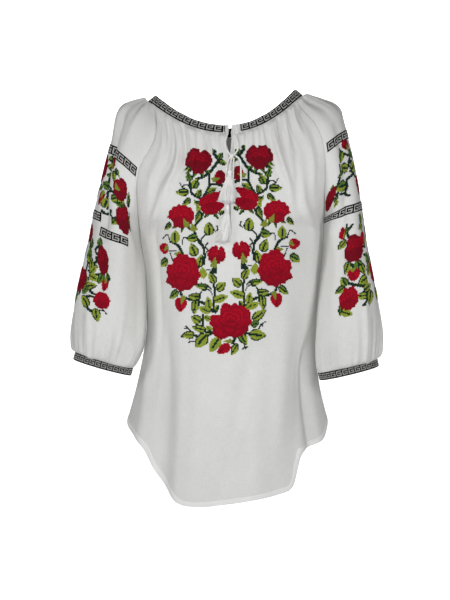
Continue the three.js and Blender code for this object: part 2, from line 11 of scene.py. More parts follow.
import bpy
import numpy as np
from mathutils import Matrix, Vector


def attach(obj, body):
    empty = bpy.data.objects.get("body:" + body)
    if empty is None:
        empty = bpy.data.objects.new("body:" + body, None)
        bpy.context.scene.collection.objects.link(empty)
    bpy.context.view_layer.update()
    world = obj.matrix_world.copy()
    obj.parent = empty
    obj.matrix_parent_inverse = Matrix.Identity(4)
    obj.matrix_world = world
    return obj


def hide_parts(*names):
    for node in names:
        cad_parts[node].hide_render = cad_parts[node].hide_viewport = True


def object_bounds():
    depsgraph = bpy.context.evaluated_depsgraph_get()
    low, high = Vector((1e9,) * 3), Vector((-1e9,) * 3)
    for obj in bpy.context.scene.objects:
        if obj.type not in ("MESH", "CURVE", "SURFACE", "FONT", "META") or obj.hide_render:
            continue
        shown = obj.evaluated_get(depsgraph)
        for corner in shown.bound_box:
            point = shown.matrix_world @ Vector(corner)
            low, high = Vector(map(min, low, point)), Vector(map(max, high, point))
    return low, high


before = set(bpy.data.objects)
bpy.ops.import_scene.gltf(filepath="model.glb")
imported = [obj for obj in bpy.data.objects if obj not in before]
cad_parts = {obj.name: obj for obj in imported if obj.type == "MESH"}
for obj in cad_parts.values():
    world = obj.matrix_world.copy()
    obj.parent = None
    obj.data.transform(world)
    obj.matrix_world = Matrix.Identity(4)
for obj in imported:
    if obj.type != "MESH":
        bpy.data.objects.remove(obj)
cad_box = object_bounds()
MM = 0.001
BODY = "root"
print("nodes of the frame:", sorted(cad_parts))

# %% [markdown]
# ## The camera
# The camera stands level, 2.2 m in front of the blouse and a little below its armpits. A long
# lens keeps the sleeves from looking wider than they are.

# %% Camera
CAMERA_PLACE = (-0.005, -2.2, -0.352)
SENSOR = 36.0
SEEN_HEIGHT = 1.02  # metres of the garment's own plane that the frame's long side shows

camera_data = bpy.data.cameras.new("camera")
camera_data.sensor_width = SENSOR
camera_data.lens = SENSOR * -CAMERA_PLACE[1] / SEEN_HEIGHT
camera = bpy.data.objects.new("camera", camera_data)
camera.location = CAMERA_PLACE
camera.rotation_euler = (math.radians(90), 0, 0)
bpy.context.scene.collection.objects.link(camera)
bpy.context.scene.camera = camera
print("lens", round(camera_data.lens, 1), "mm")

# %% [markdown]
# ## Colour and nodes
# Cloth and thread colours are easiest to name as sRGB hex values. Shaders work in linear
# light, so one function turns them. A second small function adds a shader node with its
# settings and links, and every material below is put together with it. Two more do what each
# material needs: one blends its two colours, and one sets the numbers that are the same all
# over it.

# %% Colour and node helpers
def linear(hex_colour):
    """sRGB hex to linear RGBA: the low part of each channel is straight, the rest a power."""
    channels = [int(hex_colour[i : i + 2], 16) / 255 for i in (1, 3, 5)]
    turned = [c / 12.92 if c <= 0.04045 else ((c + 0.055) / 1.055) ** 2.4 for c in channels]
    return (*turned, 1.0)


def node(tree, kind, settings=None, **inputs):
    """Adds one node, whose type is ShaderNode and kind in one word. settings are its properties;
    inputs are its sockets by name, with _ for a space, or by number as n0, n1 and so on. Each
    is a value or another node's output."""
    made = tree.nodes.new("ShaderNode" + kind)
    for key, value in (settings or {}).items():
        setattr(made, key, value)
    for key, value in inputs.items():
        number = key[0] == "n" and key[1:].isdigit()
        socket = made.inputs[int(key[1:]) if number else key.replace("_", " ")]
        if isinstance(value, bpy.types.NodeSocket):
            tree.links.new(value, socket)
        else:
            socket.default_value = value
    return made


def paint(tree, shader, factor, low, high, start, end):
    """Base colour: low where factor is at start or under it, high at end or over it, and an
    even blend between."""
    share = node(tree, "MapRange", Value=factor, From_Min=start, From_Max=end)
    sockets = {"n0": share.outputs["Result"], "n6": linear(low), "n7": linear(high)}
    blend = node(tree, "Mix", {"data_type": "RGBA"}, **sockets)
    tree.links.new(blend.outputs[2], shader.inputs["Base Color"])


def set_surface(shader, roughness, specular, sheen=0.0):
    """The shader's plain numbers, set on its own sockets."""
    shader.inputs["Roughness"].default_value = roughness
    shader.inputs["Specular IOR Level"].default_value = specular
    shader.inputs["Sheen Weight"].default_value = sheen


def new_material(name):
    """A material with a Principled shader, and nothing else in its tree."""
    material = bpy.data.materials.new(name)
    material.use_nodes = True
    tree = material.node_tree
    tree.nodes.clear()
    shader = tree.nodes.new("ShaderNodeBsdfPrincipled")
    output = tree.nodes.new("ShaderNodeOutputMaterial")
    tree.links.new(shader.outputs["BSDF"], output.inputs["Surface"])
    return material, tree, shader

# %% [markdown]
# ## The cloth's finish
# The cloth is plain-woven cotton with a few thicker threads (slubs) both ways, washed and not
# starched. Its real threads lie about 0.5 mm apart, too fine to show here, so the weave is
# drawn at 1.1 mm. The pattern follows the cloth through each piece's own UV map, in metres of
# cloth, so that it neither slides nor stretches over a fold. Cotton has a soft sheen at
# grazing angles and no gloss.

# %% Cloth materials
WEAVE_PITCH = 1.1 * MM
WEAVE_HEIGHT = 0.12 * MM
SLUB_SCALES = {"X": (90, 900, 1), "Y": (900, 90, 1)}  # a slub is about 11 mm long and 1 mm thick
MOTTLE_SCALE = 22.0  # tone changes over about 45 mm
CRUMPLE_SCALE = 55.0  # wash creases about 18 mm apart
CRUMPLE_HEIGHT = 0.9 * MM
MULTIPLY = {"operation": "MULTIPLY"}
ADD = {"operation": "ADD"}
MULTIPLY_ADD = {"operation": "MULTIPLY_ADD"}


def wave_scale(pitch):
    """The Wave Texture's scale that gives one band for each pitch."""
    return math.pi / 10 / pitch


def woven_cloth(name, pale, shaded):
    """Plain weave: two crossed sets of threads from the UV map, slubs along both, one soft
    mottle on Object coordinates."""
    material, tree, shader = new_material(name)
    flat = node(tree, "UVMap", {"uv_map": "cloth"}).outputs["UV"]
    threads, slubs = [], []
    fine = {"Scale": wave_scale(WEAVE_PITCH), "Distortion": 0.6, "Detail": 1.0}
    for axis, stretch in SLUB_SCALES.items():
        wave = node(tree, "TexWave", {"bands_direction": axis}, Vector=flat, **fine)
        threads.append(wave.outputs["Fac"])
        drawn = node(tree, "Mapping", Vector=flat, Scale=stretch).outputs["Vector"]
        slub = node(tree, "TexNoise", Vector=drawn, Scale=1.0, Detail=2.0)
        slubs.append(slub.outputs["Fac"])
    place = node(tree, "TexCoord").outputs["Object"]
    mottle = node(tree, "TexNoise", Vector=place, Scale=MOTTLE_SCALE, Detail=3.0)
    crumple = node(tree, "TexNoise", Vector=place, Scale=CRUMPLE_SCALE, Detail=4.0)
    weave = node(tree, "Math", MULTIPLY, n0=threads[0], n1=threads[1]).outputs[0]
    slubbed = node(tree, "Math", ADD, n0=slubs[0], n1=slubs[1]).outputs[0]
    tone = node(tree, "Math", MULTIPLY_ADD, n0=slubbed, n1=0.42, n2=0.06).outputs[0]
    tone = node(tree, "Math", MULTIPLY_ADD, n0=mottle.outputs["Fac"], n1=0.3, n2=tone)
    paint(tree, shader, tone.outputs[0], shaded, pale, 0.3, 0.75)
    relief = node(tree, "Math", MULTIPLY_ADD, n0=slubbed, n1=1.2, n2=weave).outputs[0]
    bump = node(tree, "Bump", Strength=0.35, Distance=WEAVE_HEIGHT, Height=relief)
    soft = node(tree, "Bump", Strength=0.5, Distance=CRUMPLE_HEIGHT)
    tree.links.new(crumple.outputs["Fac"], soft.inputs["Height"])
    tree.links.new(bump.outputs["Normal"], soft.inputs["Normal"])
    tree.links.new(soft.outputs["Normal"], shader.inputs["Normal"])
    shader.inputs["Sheen Roughness"].default_value = 0.5
    set_surface(shader, roughness=0.85, specular=0.25, sheen=0.15)
    return material


cotton = woven_cloth("washed_cotton_plain_weave", "#E4E4E2", "#D4D4D1")
hem_cotton = woven_cloth("cotton_turned_double", "#F0F0EF", "#E6E6E4")
print("cloth materials", cotton.name, hem_cotton.name)

# %% [markdown]
# ## The threads' finish
# The needlework is stranded cotton floss, which is mercerised: it shines softly along the
# thread. Each colour is a material of its own. A fine noise changes the tone from stitch to
# stitch, as hand-dyed floss and the pull of each stitch do.

# %% Thread materials
STITCH_TONE_SCALE = 420.0  # about one change of tone for each stitch
PLY_SCALE = 240.0  # the strands' twist, as fine diagonal ridges
PLY_HEIGHT = 0.1 * MM


def floss(name, dark, light):
    """Cotton floss: the tone wanders between dark and light from stitch to stitch."""
    material, tree, shader = new_material(name)
    place = node(tree, "TexCoord").outputs["Object"]
    tone = node(tree, "TexNoise", Vector=place, Scale=STITCH_TONE_SCALE, Detail=2.0)
    paint(tree, shader, tone.outputs["Fac"], dark, light, 0.32, 0.68)
    diagonal = {"bands_direction": "DIAGONAL"}
    ply = node(tree, "TexWave", diagonal, Vector=place, Scale=PLY_SCALE, Distortion=2.0)
    bump = node(tree, "Bump", Strength=0.4, Distance=PLY_HEIGHT, Height=ply.outputs["Fac"])
    tree.links.new(bump.outputs["Normal"], shader.inputs["Normal"])
    set_surface(shader, roughness=0.7, specular=0.15)
    return material


FLOSS_TONES = {  # each material's name, and the dark and the light end of its colour
    "crimson": ("crimson_floss", "#94001E", "#AC0424"),
    "deep_red": ("deep_red_floss", "#6E0218", "#82061E"),
    "wine": ("wine_red_floss", "#82021B", "#980421"),
    "scarlet": ("scarlet_floss", "#A80422", "#BC0827"),
    "leaf": ("leaf_green_floss", "#84942E", "#9CAA40"),
    "moss": ("moss_green_floss", "#56762A", "#6A8A32"),
    "stem": ("stem_green_floss", "#10241C", "#1C3828"),
    "sepal": ("olive_floss", "#76862E", "#90963A"),
    "black": ("black_floss", "#050505", "#0C0C0C"),
    "pale": ("pale_grey_floss", "#B6B6B2", "#CACAC6"),
    "ash": ("ash_grey_floss", "#9A9A96", "#B2B2AE"),
}
FLOSS = {thread: floss(*row) for thread, row in FLOSS_TONES.items()}
print("thread colours:", ", ".join(FLOSS))

# %% [markdown]
# ## Reading the pattern tables
# Each piece of cloth is given by sections at a few heights, in tables with named columns. A
# cubic runs through each column, so a value can be asked for at any place between two rows.

# %% Smooth tables
def clamp01(x):
    return np.clip(x, 0.0, 1.0)


def mix(a, b, share):
    return a + (b - a) * share


def ease(start, end, x):
    """0 before start, 1 after end, and a smooth step between."""
    u = clamp01((np.asarray(x, float) - start) / (end - start))
    return u * u * (3 - 2 * u)


def smooth(at, value):
    """A cubic through the values. The slope at a value is that of the line between its
    neighbours."""
    at, value = np.asarray(at, float), np.asarray(value, float)
    last = len(at) - 1
    each = np.arange(last + 1)
    before, after = np.maximum(each - 1, 0), np.minimum(each + 1, last)
    slope = (value[after] - value[before]) / (at[after] - at[before])

    def read(v):
        start = np.clip(np.searchsorted(at, v, side="right") - 1, 0, last - 1)
        span = at[start + 1] - at[start]
        u = (v - at[start]) / span
        rise = u * u * (3 - 2 * u)
        bend = slope[start] * (1 - u) - slope[start + 1] * u
        return mix(value[start], value[start + 1], rise) + bend * span * u * (1 - u)

    return read


def read_table(names, rows):
    """Each column as a smooth function of the first one."""
    columns = np.array(rows, float).T
    return {name: smooth(columns[0], column) for name, column in zip(names.split(), columns)}

# %% [markdown]
# ## From arrays to meshes
# A shape is worked out as a whole array of points, and only then handed to Blender. Every
# mesh keeps its place in its own points, so its object sits at the origin, unturned.

# %% Mesh helpers
def unit(vectors):
    """Each vector at length 1."""
    return vectors / np.maximum(np.linalg.norm(vectors, axis=-1, keepdims=True), 1e-9)


def grid_faces(rows, columns, closed=False):
    """Four-cornered faces of a grid of points, rows by columns; closed joins the last column
    to the first. They face outwards when rows run down and columns counter-clockwise."""
    across = np.arange(columns if closed else columns - 1)
    r, c = np.meshgrid(np.arange(rows - 1), across, indexing="ij")
    here, below, right = r * columns, (r + 1) * columns, (c + 1) % columns
    return np.stack((here + c, below + c, below + right, here + right), axis=-1).reshape(-1, 4)


def make_piece(name, points, faces, materials, uv=None, pick=None, facets=False):
    """A mesh object from points in millimetres and faces that all have as many corners. uv is
    a place on the cloth for each point, pick the number of each face's material."""
    mesh = bpy.data.meshes.new(name)
    corners = faces.shape[1]
    mesh.vertices.add(len(points))
    mesh.vertices.foreach_set("co", (np.asarray(points, float).reshape(-1) * MM).astype(np.float32))
    mesh.loops.add(faces.size)
    mesh.loops.foreach_set("vertex_index", faces.reshape(-1).astype(np.int32))
    mesh.polygons.add(len(faces))
    mesh.polygons.foreach_set("loop_start", np.arange(0, faces.size, corners, dtype=np.int32))
    if pick is not None:
        mesh.polygons.foreach_set("material_index", pick.astype(np.int32))
    mesh.polygons.foreach_set("use_smooth", np.full(len(faces), not facets))
    mesh.update(calc_edges=True)
    if uv is not None:
        layer = mesh.uv_layers.new(name="cloth")
        layer.data.foreach_set("uv", (uv[faces.reshape(-1)] * MM).astype(np.float32).reshape(-1))
    for material in materials:
        mesh.materials.append(material)
    mesh.validate()
    piece = bpy.data.objects.new(name, mesh)
    bpy.context.scene.collection.objects.link(piece)
    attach(piece, BODY)
    return piece


def give_wall(piece, thickness):
    """Solidify: the wall goes inwards from the surface, and its edges are closed."""
    wall = piece.modifiers.new("wall", "SOLIDIFY")
    wall.thickness = thickness * MM
    wall.offset = -1.0
    wall.use_even_offset = False
    return piece


def join_parts(parts):
    """Several (points, faces) as one, the faces renumbered."""
    starts = np.cumsum([0] + [len(points) for points, _ in parts[:-1]])
    points = np.concatenate([points for points, _ in parts])
    return points, np.concatenate([faces + start for (_, faces), start in zip(parts, starts)])


# %% [markdown]
# ## The ties
# Two cotton cords leave the ends of the neck band, meet in a knot below the keyhole, and one
# of them makes a loop there. Each tie is 3 mm thick, limp, and hangs under its own weight to a
# tassel. The cord is made of three twisted strands, so its section is a trefoil that turns as
# it is carried along the path; a plain round tube would look like wire.

# %% Cord shape
CORD_DIAMETER = 3.0
STRANDS = 3
STRAND_DEPTH = 0.13  # how far the grooves cut in, as a share of the radius
MEAN_RADIUS = 0.44  # as a share of the diameter, so that the strands' crests reach it
TWIST_PITCH = 16.0  # millimetres of cord in which a strand goes once round


def run_along(path):
    """The length of a path, or of several at once, up to each of its points."""
    steps = np.linalg.norm(np.diff(path, axis=-2), axis=-1)
    return np.insert(np.cumsum(steps, axis=-1), 0, 0.0, axis=-1)


def path_through(route, step=0.7):
    """A smooth path through a route's points, with a point every step along it."""
    route = np.array(route, float)
    at = run_along(route)
    fine = np.linspace(0, at[-1], int(at[-1] / step) + 1)
    return np.stack([smooth(at, column)(fine) for column in route.T], axis=1)


def carried_ring(path, sides, fixed):
    """At each point of a path, or of several at once, the directions from it to the corners
    of a ring round it. The ring is square to the path, and it is turned as little as possible
    because its first direction is always found from the same fixed one."""
    along = unit(np.gradient(path, axis=-2))
    across = unit(np.cross(along, np.array(fixed)))
    square = np.cross(along, across)
    angle = np.linspace(0, 2 * np.pi, sides, endpoint=False)[:, None]
    return across[..., None, :] * np.cos(angle) + square[..., None, :] * np.sin(angle)


def twisted_cord(path, diameter=CORD_DIAMETER, sides=14):
    """A trefoil section of radius r (1 + 0.13 cos(3 (angle - turn))), turning once a pitch as
    it runs along the path. Each end is closed by a point on the path."""
    angle = np.linspace(0, 2 * np.pi, sides, endpoint=False)[None, :]
    turn = (2 * np.pi * run_along(path) / TWIST_PITCH)[:, None]
    radius = MEAN_RADIUS * diameter * (1 + STRAND_DEPTH * np.cos(STRANDS * (angle - turn)))
    points = path[:, None] + carried_ring(path, sides, (0.12, 1.0, 0.07)) * radius[..., None]
    ends = path[[0, -1], None].repeat(sides, axis=1)
    points = np.concatenate([ends[:1], points, ends[1:]])
    return points.reshape(-1, 3), grid_faces(len(points), sides, closed=True)[:, ::-1]


# %% Tie material
FIBRE_SCALE = 900.0
FIBRE_HEIGHT = 0.15 * MM


def twisted_yarn(name, pale, shaded):
    """White cotton yarn, spun and not mercerised, so it is matt and a little hairy: fine fibres
    as bump, and painted shade in the grooves between strands."""
    material, tree, shader = new_material(name)
    place = node(tree, "TexCoord").outputs["Object"]
    noise = node(tree, "TexNoise", Vector=place, Scale=FIBRE_SCALE, Detail=3.0)
    fibres = noise.outputs["Fac"]
    # Painted shade: where pointiness is low, in the grooves between strands, the colour goes to shaded.
    shade_in_grooves = node(tree, "NewGeometry").outputs["Pointiness"]
    depth = node(tree, "Math", MULTIPLY_ADD, n0=fibres, n1=0.1, n2=shade_in_grooves).outputs[0]
    paint(tree, shader, depth, shaded, pale, 0.47, 0.57)
    bump = node(tree, "Bump", Strength=0.5, Distance=FIBRE_HEIGHT, Height=fibres)
    tree.links.new(bump.outputs["Normal"], shader.inputs["Normal"])
    set_surface(shader, roughness=0.8, specular=0.25, sheen=0.1)
    return material


# Each yarn's second colour is its painted shade in the grooves.
cord_yarn = twisted_yarn("white_cotton_cord", "#F2F2F0", "#C9C9C5")
tassel_yarn = twisted_yarn("white_tassel_yarn", "#F0F0EE", "#CFCFCC")
print("yarns", cord_yarn.name, tassel_yarn.name)

# %% Tie routes
# The routes of the frame's own cords. The tie on the wearer's right goes through the knot to
# the short tail, the one on the left to the long tail.
KNOT_MIDDLE = (6.2, -120.6, -120.0)
RIGHT_STRAND = [
    (-1, -101, -75.5), (-1.5, -107.6, -84), (-4.5, -113.5, -96), (-3.6, -118, -107.5),
    (2, -120.2, -116.7), (5.6, -121.6, -120.6), (5.7, -123.4, -124.4), (4, -129, -132),
    (2.4, -134.3, -142.3), (2.2, -134.6, -152),
]
LEFT_STRAND = [
    (8, -99.9, -76), (11, -108.4, -86.5), (15, -115, -98), (15.6, -118.5, -109),
    (10.95, -120.45, -117), (6, -120.6, -120.4), (2.4, -121.5, -123.8), (-1.8, -124.5, -135),
    (-3.2, -126.2, -150), (-3, -127.2, -166), (-2.2, -127.8, -182), (-1.1, -128.4, -199.6),
    (-1.4, -128.5, -210),
]
LOOP = [
    (11.9, -122.6, -120.4), (15.25, -123.1, -122.9), (17.94, -123.7, -125.66),
    (19.8, -124.4, -129.3), (20.42, -125.2, -133.3), (20.5, -127, -150), (20.5, -128, -163.7),
    (18.65, -128.3, -168.15), (14.2, -128.5, -170), (9.75, -128.3, -168.15), (7.9, -128, -163.7),
    (8, -127.5, -150), (8.5, -126, -136), (9.1, -123, -124.2),
]

# %% [markdown]
# ## The tassels and the knot
# Each tassel is a hank of yarn bound below a small head, whose cut ends spread into a skirt.
# A tassel modelled as one cone would look moulded. Here a hundred and more thin yarns run from
# the binding to the skirt's edge, each with its own lean and length, round a plain core.

# %% Tassel shapes
def turned_form(middle, heights, wide, deep, lean, sides=28, ripple=0.0, ripples=0):
    """Level ellipses stacked down the form: half widths wide and deep at each height, shifted
    sideways by lean, with a ripple that makes shallow upright grooves."""
    angle = np.linspace(0, 2 * np.pi, sides, endpoint=False)[None, :]
    swell = 1 + ripple * np.cos(ripples * angle)
    x = middle[0] + lean[:, None] + wide[:, None] * np.cos(angle) * swell
    y = middle[1] + deep[:, None] * np.sin(angle) * swell
    z = np.broadcast_to(heights[:, None], x.shape)
    points = np.stack([x, y, z], axis=-1)
    return points.reshape(-1, 3), grid_faces(len(heights), sides, closed=True)


HEAD_END = 0.15  # of the tassel's length, as the next two
BINDINGS = (0.145, 0.165, 0.185)  # the binding's turns
SKIRT_START = 0.16


def flare(s, start):
    """Half width of the skirt, s of the way down it: from start of the whole at the binding
    it opens fast, then slowly, to the whole at the edge."""
    return start + (1 - start) * (1 - (1 - s) ** 1.7)


def skirt_yarns(rng, middle, top, length, half_width, half_depth, lean, count):
    """Yarns from the binding to the skirt's edge. Each starts on a small ellipse, ends on the
    wide one, and bows out a little; its section is a triangle of 0.55 mm."""
    steps, sides, radius = 9, 3, 0.55
    angle = rng.uniform(0, 2 * np.pi, count)
    inward = np.sqrt(rng.uniform(0.45, 1.0, count))
    ends = rng.uniform(0.9, 1.0, count) * (1 - 0.07 * np.abs(np.cos(angle)))
    s = np.linspace(0, 1, steps)[None, :]
    sway = 0.5 * np.sin(2 * np.pi * (s * 0.8 + rng.uniform(0, 1, count)[:, None]))
    wide = half_width * (inward * np.cos(angle))[:, None] * flare(s, SKIRT_START)
    deep = half_depth * (inward * np.sin(angle))[:, None] * np.minimum(1, 0.45 + s)
    x = middle[0] + wide + lean * s**1.4 + sway
    y = middle[1] + deep
    z = top - length * ends[:, None] * s
    path = np.stack([x, y, z], axis=-1)
    points = path[:, :, None] + carried_ring(path, sides, (0.1, 1.0, 0.0)) * radius
    tips = path[:, [0, -1], None].repeat(sides, axis=2)
    points = np.concatenate([tips[:, :1], points, tips[:, 1:]], axis=1)
    one = grid_faces(steps + 2, sides, closed=True)[:, ::-1]
    first = (np.arange(count) * (steps + 2) * sides)[:, None, None]
    return points.reshape(-1, 3), (one[None] + first).reshape(-1, 4)


def tassel(name, seed, x, y, top, length, half_width, half_depth, lean, yarns):
    """Head, three turns of binding, core and yarns, as one piece."""
    rng = np.random.default_rng(seed)
    middle = (x, y)
    s = np.linspace(0, 1, 13)
    round_head = np.sin(np.pi * clamp01(s * 0.92 + 0.03)) ** 0.6
    head_wide = 0.3 * half_width * round_head
    head_deep = np.minimum(0.72 * half_depth, head_wide * 1.05)
    head_heights = top - HEAD_END * length * s
    parts = [turned_form(middle, head_heights, head_wide, head_deep, 0 * s, 24, 0.06, 8)]
    turn = np.linspace(0, 2 * np.pi, 19)
    for drop in BINDINGS:
        side, front = 0.26 * half_width * np.cos(turn), 0.62 * half_depth * np.sin(turn)
        ring = np.stack([x + side, y + front, top - length * drop + 0 * turn], axis=1)
        parts.append(twisted_cord(ring, 1.3, 8))
    skirt_top, skirt_length = top - SKIRT_START * length, (1 - SKIRT_START) * length
    closing = np.where(s < 1, 1, 0.02)
    core_heights = skirt_top - skirt_length * 0.93 * s
    core_wide = half_width * 0.78 * flare(s, 0.18) * closing
    core_deep = half_depth * 0.72 * np.minimum(1, 0.45 + s) * closing
    core_lean = lean * s**1.4
    parts.append(turned_form(middle, core_heights, core_wide, core_deep, core_lean, 26, 0.08, 13))
    skirt = (skirt_top, skirt_length, half_width, half_depth, lean, yarns)
    parts.append(skirt_yarns(rng, middle, *skirt))
    points, faces = join_parts(parts)
    return make_piece(name, points, faces, [tassel_yarn])


short_tassel = tassel("short_tassel_yarns", 3, 2.4, -134.6, -143.4, 56, 14, 4.6, -4, 150)
long_tassel = tassel("long_tassel_yarns", 5, -1.1, -128.5, -200, 63, 11.5, 4.4, -8.5, 140)
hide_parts("short_tassel")
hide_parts("long_tassel")
print("tassel faces", len(short_tassel.data.polygons), len(long_tassel.data.polygons))

# %% Knot
KNOT_TURNS = ((35, 1.3, 0.82), (-38, -1.1, 0.84), (4, 0.0, 1.0))  # tilt, lift and size of each


def overhand_knot(middle, wide, deep, high):
    """Three turns of cord wound over each other round the knot's middle, each a tilted ring."""
    parts = []
    turn = np.linspace(0, 2 * np.pi, 40)
    for tilt, lift, size in KNOT_TURNS:
        slope = math.radians(tilt)
        side = wide * 0.62 * size * np.cos(turn)
        up = 0.75 * np.sin(2 * turn) + lift
        x = middle[0] + side * math.cos(slope) - up * math.sin(slope)
        y = middle[1] + deep * 0.66 * size * np.sin(turn)
        z = middle[2] + side * math.sin(slope) + up * math.cos(slope) * high / wide
        parts.append(twisted_cord(np.stack([x, y, z], axis=1), CORD_DIAMETER * 0.95, 12))
    return join_parts(parts)


points, faces = overhand_knot(KNOT_MIDDLE, 5.0, 3.6, 5.0)
knot = make_piece("tie_knot_turns", points, faces, [cord_yarn])
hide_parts("tie_knot")
print("knot faces", len(knot.data.polygons))

# %% Ties on their routes
def tie(name, route, far_end, with_pieces, *replaced):
    """A cord on its route, whose length is printed. far_end, what is on its far end, is not used."""
    path = path_through(route)
    points, faces = twisted_cord(path)
    piece = make_piece(name, points, faces, [cord_yarn])
    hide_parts(*replaced)
    length = float(run_along(path)[-1])
    print(name, "is", round(length), "mm long")


right_partners, left_partners = [short_tassel, knot], [long_tassel]
tie("right_tie_cord", RIGHT_STRAND, "fitting", right_partners, "right_tie", "short_tail")
tie("left_tie_cord", LEFT_STRAND, "fitting", left_partners, "left_tie", "long_tail")
tie("loop_cord", LOOP, "object", [], "tie_loop")

# %% [markdown]
# ## The cut
# The place down a piece is v: 0 at the neck band, 1 at the armpit and 2 at the hem or cuff.
# A sleeve's section is an arc of an ellipse from seam to seam, given by its crest, the line
# where it is sewn, its depth and how far it opens. The front and back are given by their
# middle lines, and they turn from there to meet the sleeves and each other.

# %% Section tables
LINE_X = 3.0  # the centre front's x
RAGLAN_ANGLE = 66.0  # where the raglan seams meet the neck, in degrees from the middles
BAND_HEIGHT = 16.0
HEM_SIDE_Z = -556.0
NECK_FADE = 0.35  # the cloth has left the band's curve by this v

SLEEVE_COLUMNS = "v top_x top_z seam_x seam_z half_depth open mid_y"
LEFT_SLEEVE = read_table(SLEEVE_COLUMNS, [
    (0, 126, -5, 116, -16, 55, 50, 0),
    (0.12, 141, -12, 121, -31, 60, 60, 0),
    (0.25, 158, -17, 129, -43, 67, 72, 0),
    (0.4, 177, -22, 140, -58, 75.5, 83, 0),
    (0.52, 190, -31, 148, -74, 82, 90, 0),
    (0.62, 196, -49, 154, -90, 86, 95, 0),
    (0.72, 204, -80, 158, -113, 89, 102, 0),
    (0.82, 213, -115, 159, -145, 88, 112, 0),
    (0.92, 221, -158, 159, -188, 82, 131, 0),
    (1, 228, -203, 161, -228, 74, 180, 0),
    (1.2, 233.5, -253, 159.5, -277, 67, 180, -14),
    (1.4, 241, -304, 153, -329, 66, 180, -24),
    (1.6, 248.5, -353, 148.5, -378, 65, 180, -32),
    (1.8, 253.5, -402, 147, -427, 61, 180, -36),
    (1.93, 252, -436, 149, -460, 50, 180, -38),
    (2, 248.5, -450, 151, -474, 44, 180, -38),
])
RIGHT_SLEEVE = read_table(SLEEVE_COLUMNS, [
    (0, 134, -16, 122, -26, 55, 50, 0),
    (0.12, 149, -17.5, 119, -46, 60, 60, 0),
    (0.25, 166, -20.5, 118, -63, 66, 72, 0),
    (0.4, 180, -26, 120, -84, 74, 83, 0),
    (0.52, 189, -39, 127, -103, 80, 90, 0),
    (0.62, 194, -62, 137, -120, 83, 95, 0),
    (0.72, 198, -85, 145, -138, 86, 102, 0),
    (0.82, 207, -118, 149, -164, 86, 112, 0),
    (0.92, 217, -160, 149, -207, 80, 131, 0),
    (1, 228, -206, 146, -250, 72, 180, 0),
    (1.2, 235, -254, 139.5, -294, 65, 180, -16),
    (1.4, 244.5, -303, 137, -340, 65, 180, -25),
    (1.6, 254.5, -353, 136.5, -386, 64, 180, -32),
    (1.8, 257.5, -400, 142, -429, 60, 180, -36),
    (1.93, 256, -428, 153, -455, 50, 180, -38),
    (2, 254, -439, 159, -466, 44, 180, -38),
])
armpits = [table["seam_z"](1) for table in (LEFT_SLEEVE, RIGHT_SLEEVE)]
print("armpits, left and right, at heights", [round(float(z)) for z in armpits])

# %% Tables of the front and back
MIDDLE_COLUMNS = "v y z turn"
FRONT_MIDDLE = read_table(MIDDLE_COLUMNS, [
    (0, -101, -80, 62),
    (0.12, -107.5, -101, 60),
    (0.25, -112, -122, 59),
    (0.4, -116, -146, 60),
    (0.62, -120, -181, 63),
    (0.82, -122, -212, 70),
    (1, -122, -240, 90),
    (1.2, -118, -330, 90),
    (1.4, -113, -419, 90),
    (1.6, -109, -508, 90),
    (1.8, -107, -598, 90),
    (2, -105, -687, 90),
])
BACK_MIDDLE = read_table(MIDDLE_COLUMNS, [
    (0, 85, -64.5, 62),
    (0.12, 91, -86, 60),
    (0.25, 95, -108, 59),
    (0.4, 99, -134, 60),
    (0.62, 102, -172, 63),
    (0.82, 103, -205, 70),
    (1, 102, -240, 90),
    (1.2, 97, -330, 90),
    (1.4, 94, -420, 90),
    (1.6, 95, -509, 90),
    (1.8, 97, -597, 90),
    (2, 98, -680, 90),
])
SIDE = read_table("v right_x left_x y", [
    (1, 146, 161, 0),
    (1.08, 141, 158.5, 3),
    (1.2, 137.5, 155.5, 5),
    (1.4, 136.5, 151, 7),
    (1.6, 143, 148, 8),
    (1.8, 155, 155, 8),
    (2, 171.5, 170, 8),
])
# The hem: how far it has climbed (0 to 1) from its middle to the side seams.
FRONT_HEM = read_table("t climb", [
    (-1, 1), (-0.85, 0.91), (-0.72, 0.82), (-0.6, 0.67), (-0.52, 0.44), (-0.44, 0.25),
    (-0.34, 0.05), (-0.26, 0), (-0.1, 0), (0.12, 0.07), (0.34, 0.15), (0.43, 0.24),
    (0.49, 0.57), (0.54, 0.66), (0.62, 0.7), (0.78, 0.79), (0.9, 0.93), (1, 1),
])
BACK_HEM = read_table("t climb", [
    (-1, 1), (-0.84, 0.96), (-0.66, 0.74), (-0.5, 0.42), (-0.34, 0.1), (-0.2, 0),
    (0.2, 0), (0.34, 0.1), (0.5, 0.42), (0.66, 0.74), (0.84, 0.96), (1, 1),
])

# %% [markdown]
# ## The surface of each piece of cloth
# Every piece is a function of two parameters, t across it from -1 to 1 and v down it. The same
# function places the cloth, its hem, and every stitch on it, so nothing can drift apart. Near
# the neck each surface is drawn on to the band's curve.

# %% Neckline
NECK_HALF_WIDTH = (111.0, 126.0)  # at the wearer's left and right
NECK_HALF_DEPTH = (92.0, 78.0)  # at the front and back, as the next two
NECK_DIP = (67.0, 50.0)
MIDDLE_SLOPE = (55.0, 65.0)  # the band's slope in degrees, 40 at the shoulders
SHOULDER_SLOPE = 40.0
NECK_TILT = 0.044  # the neckline rises this much for each millimetre towards the left


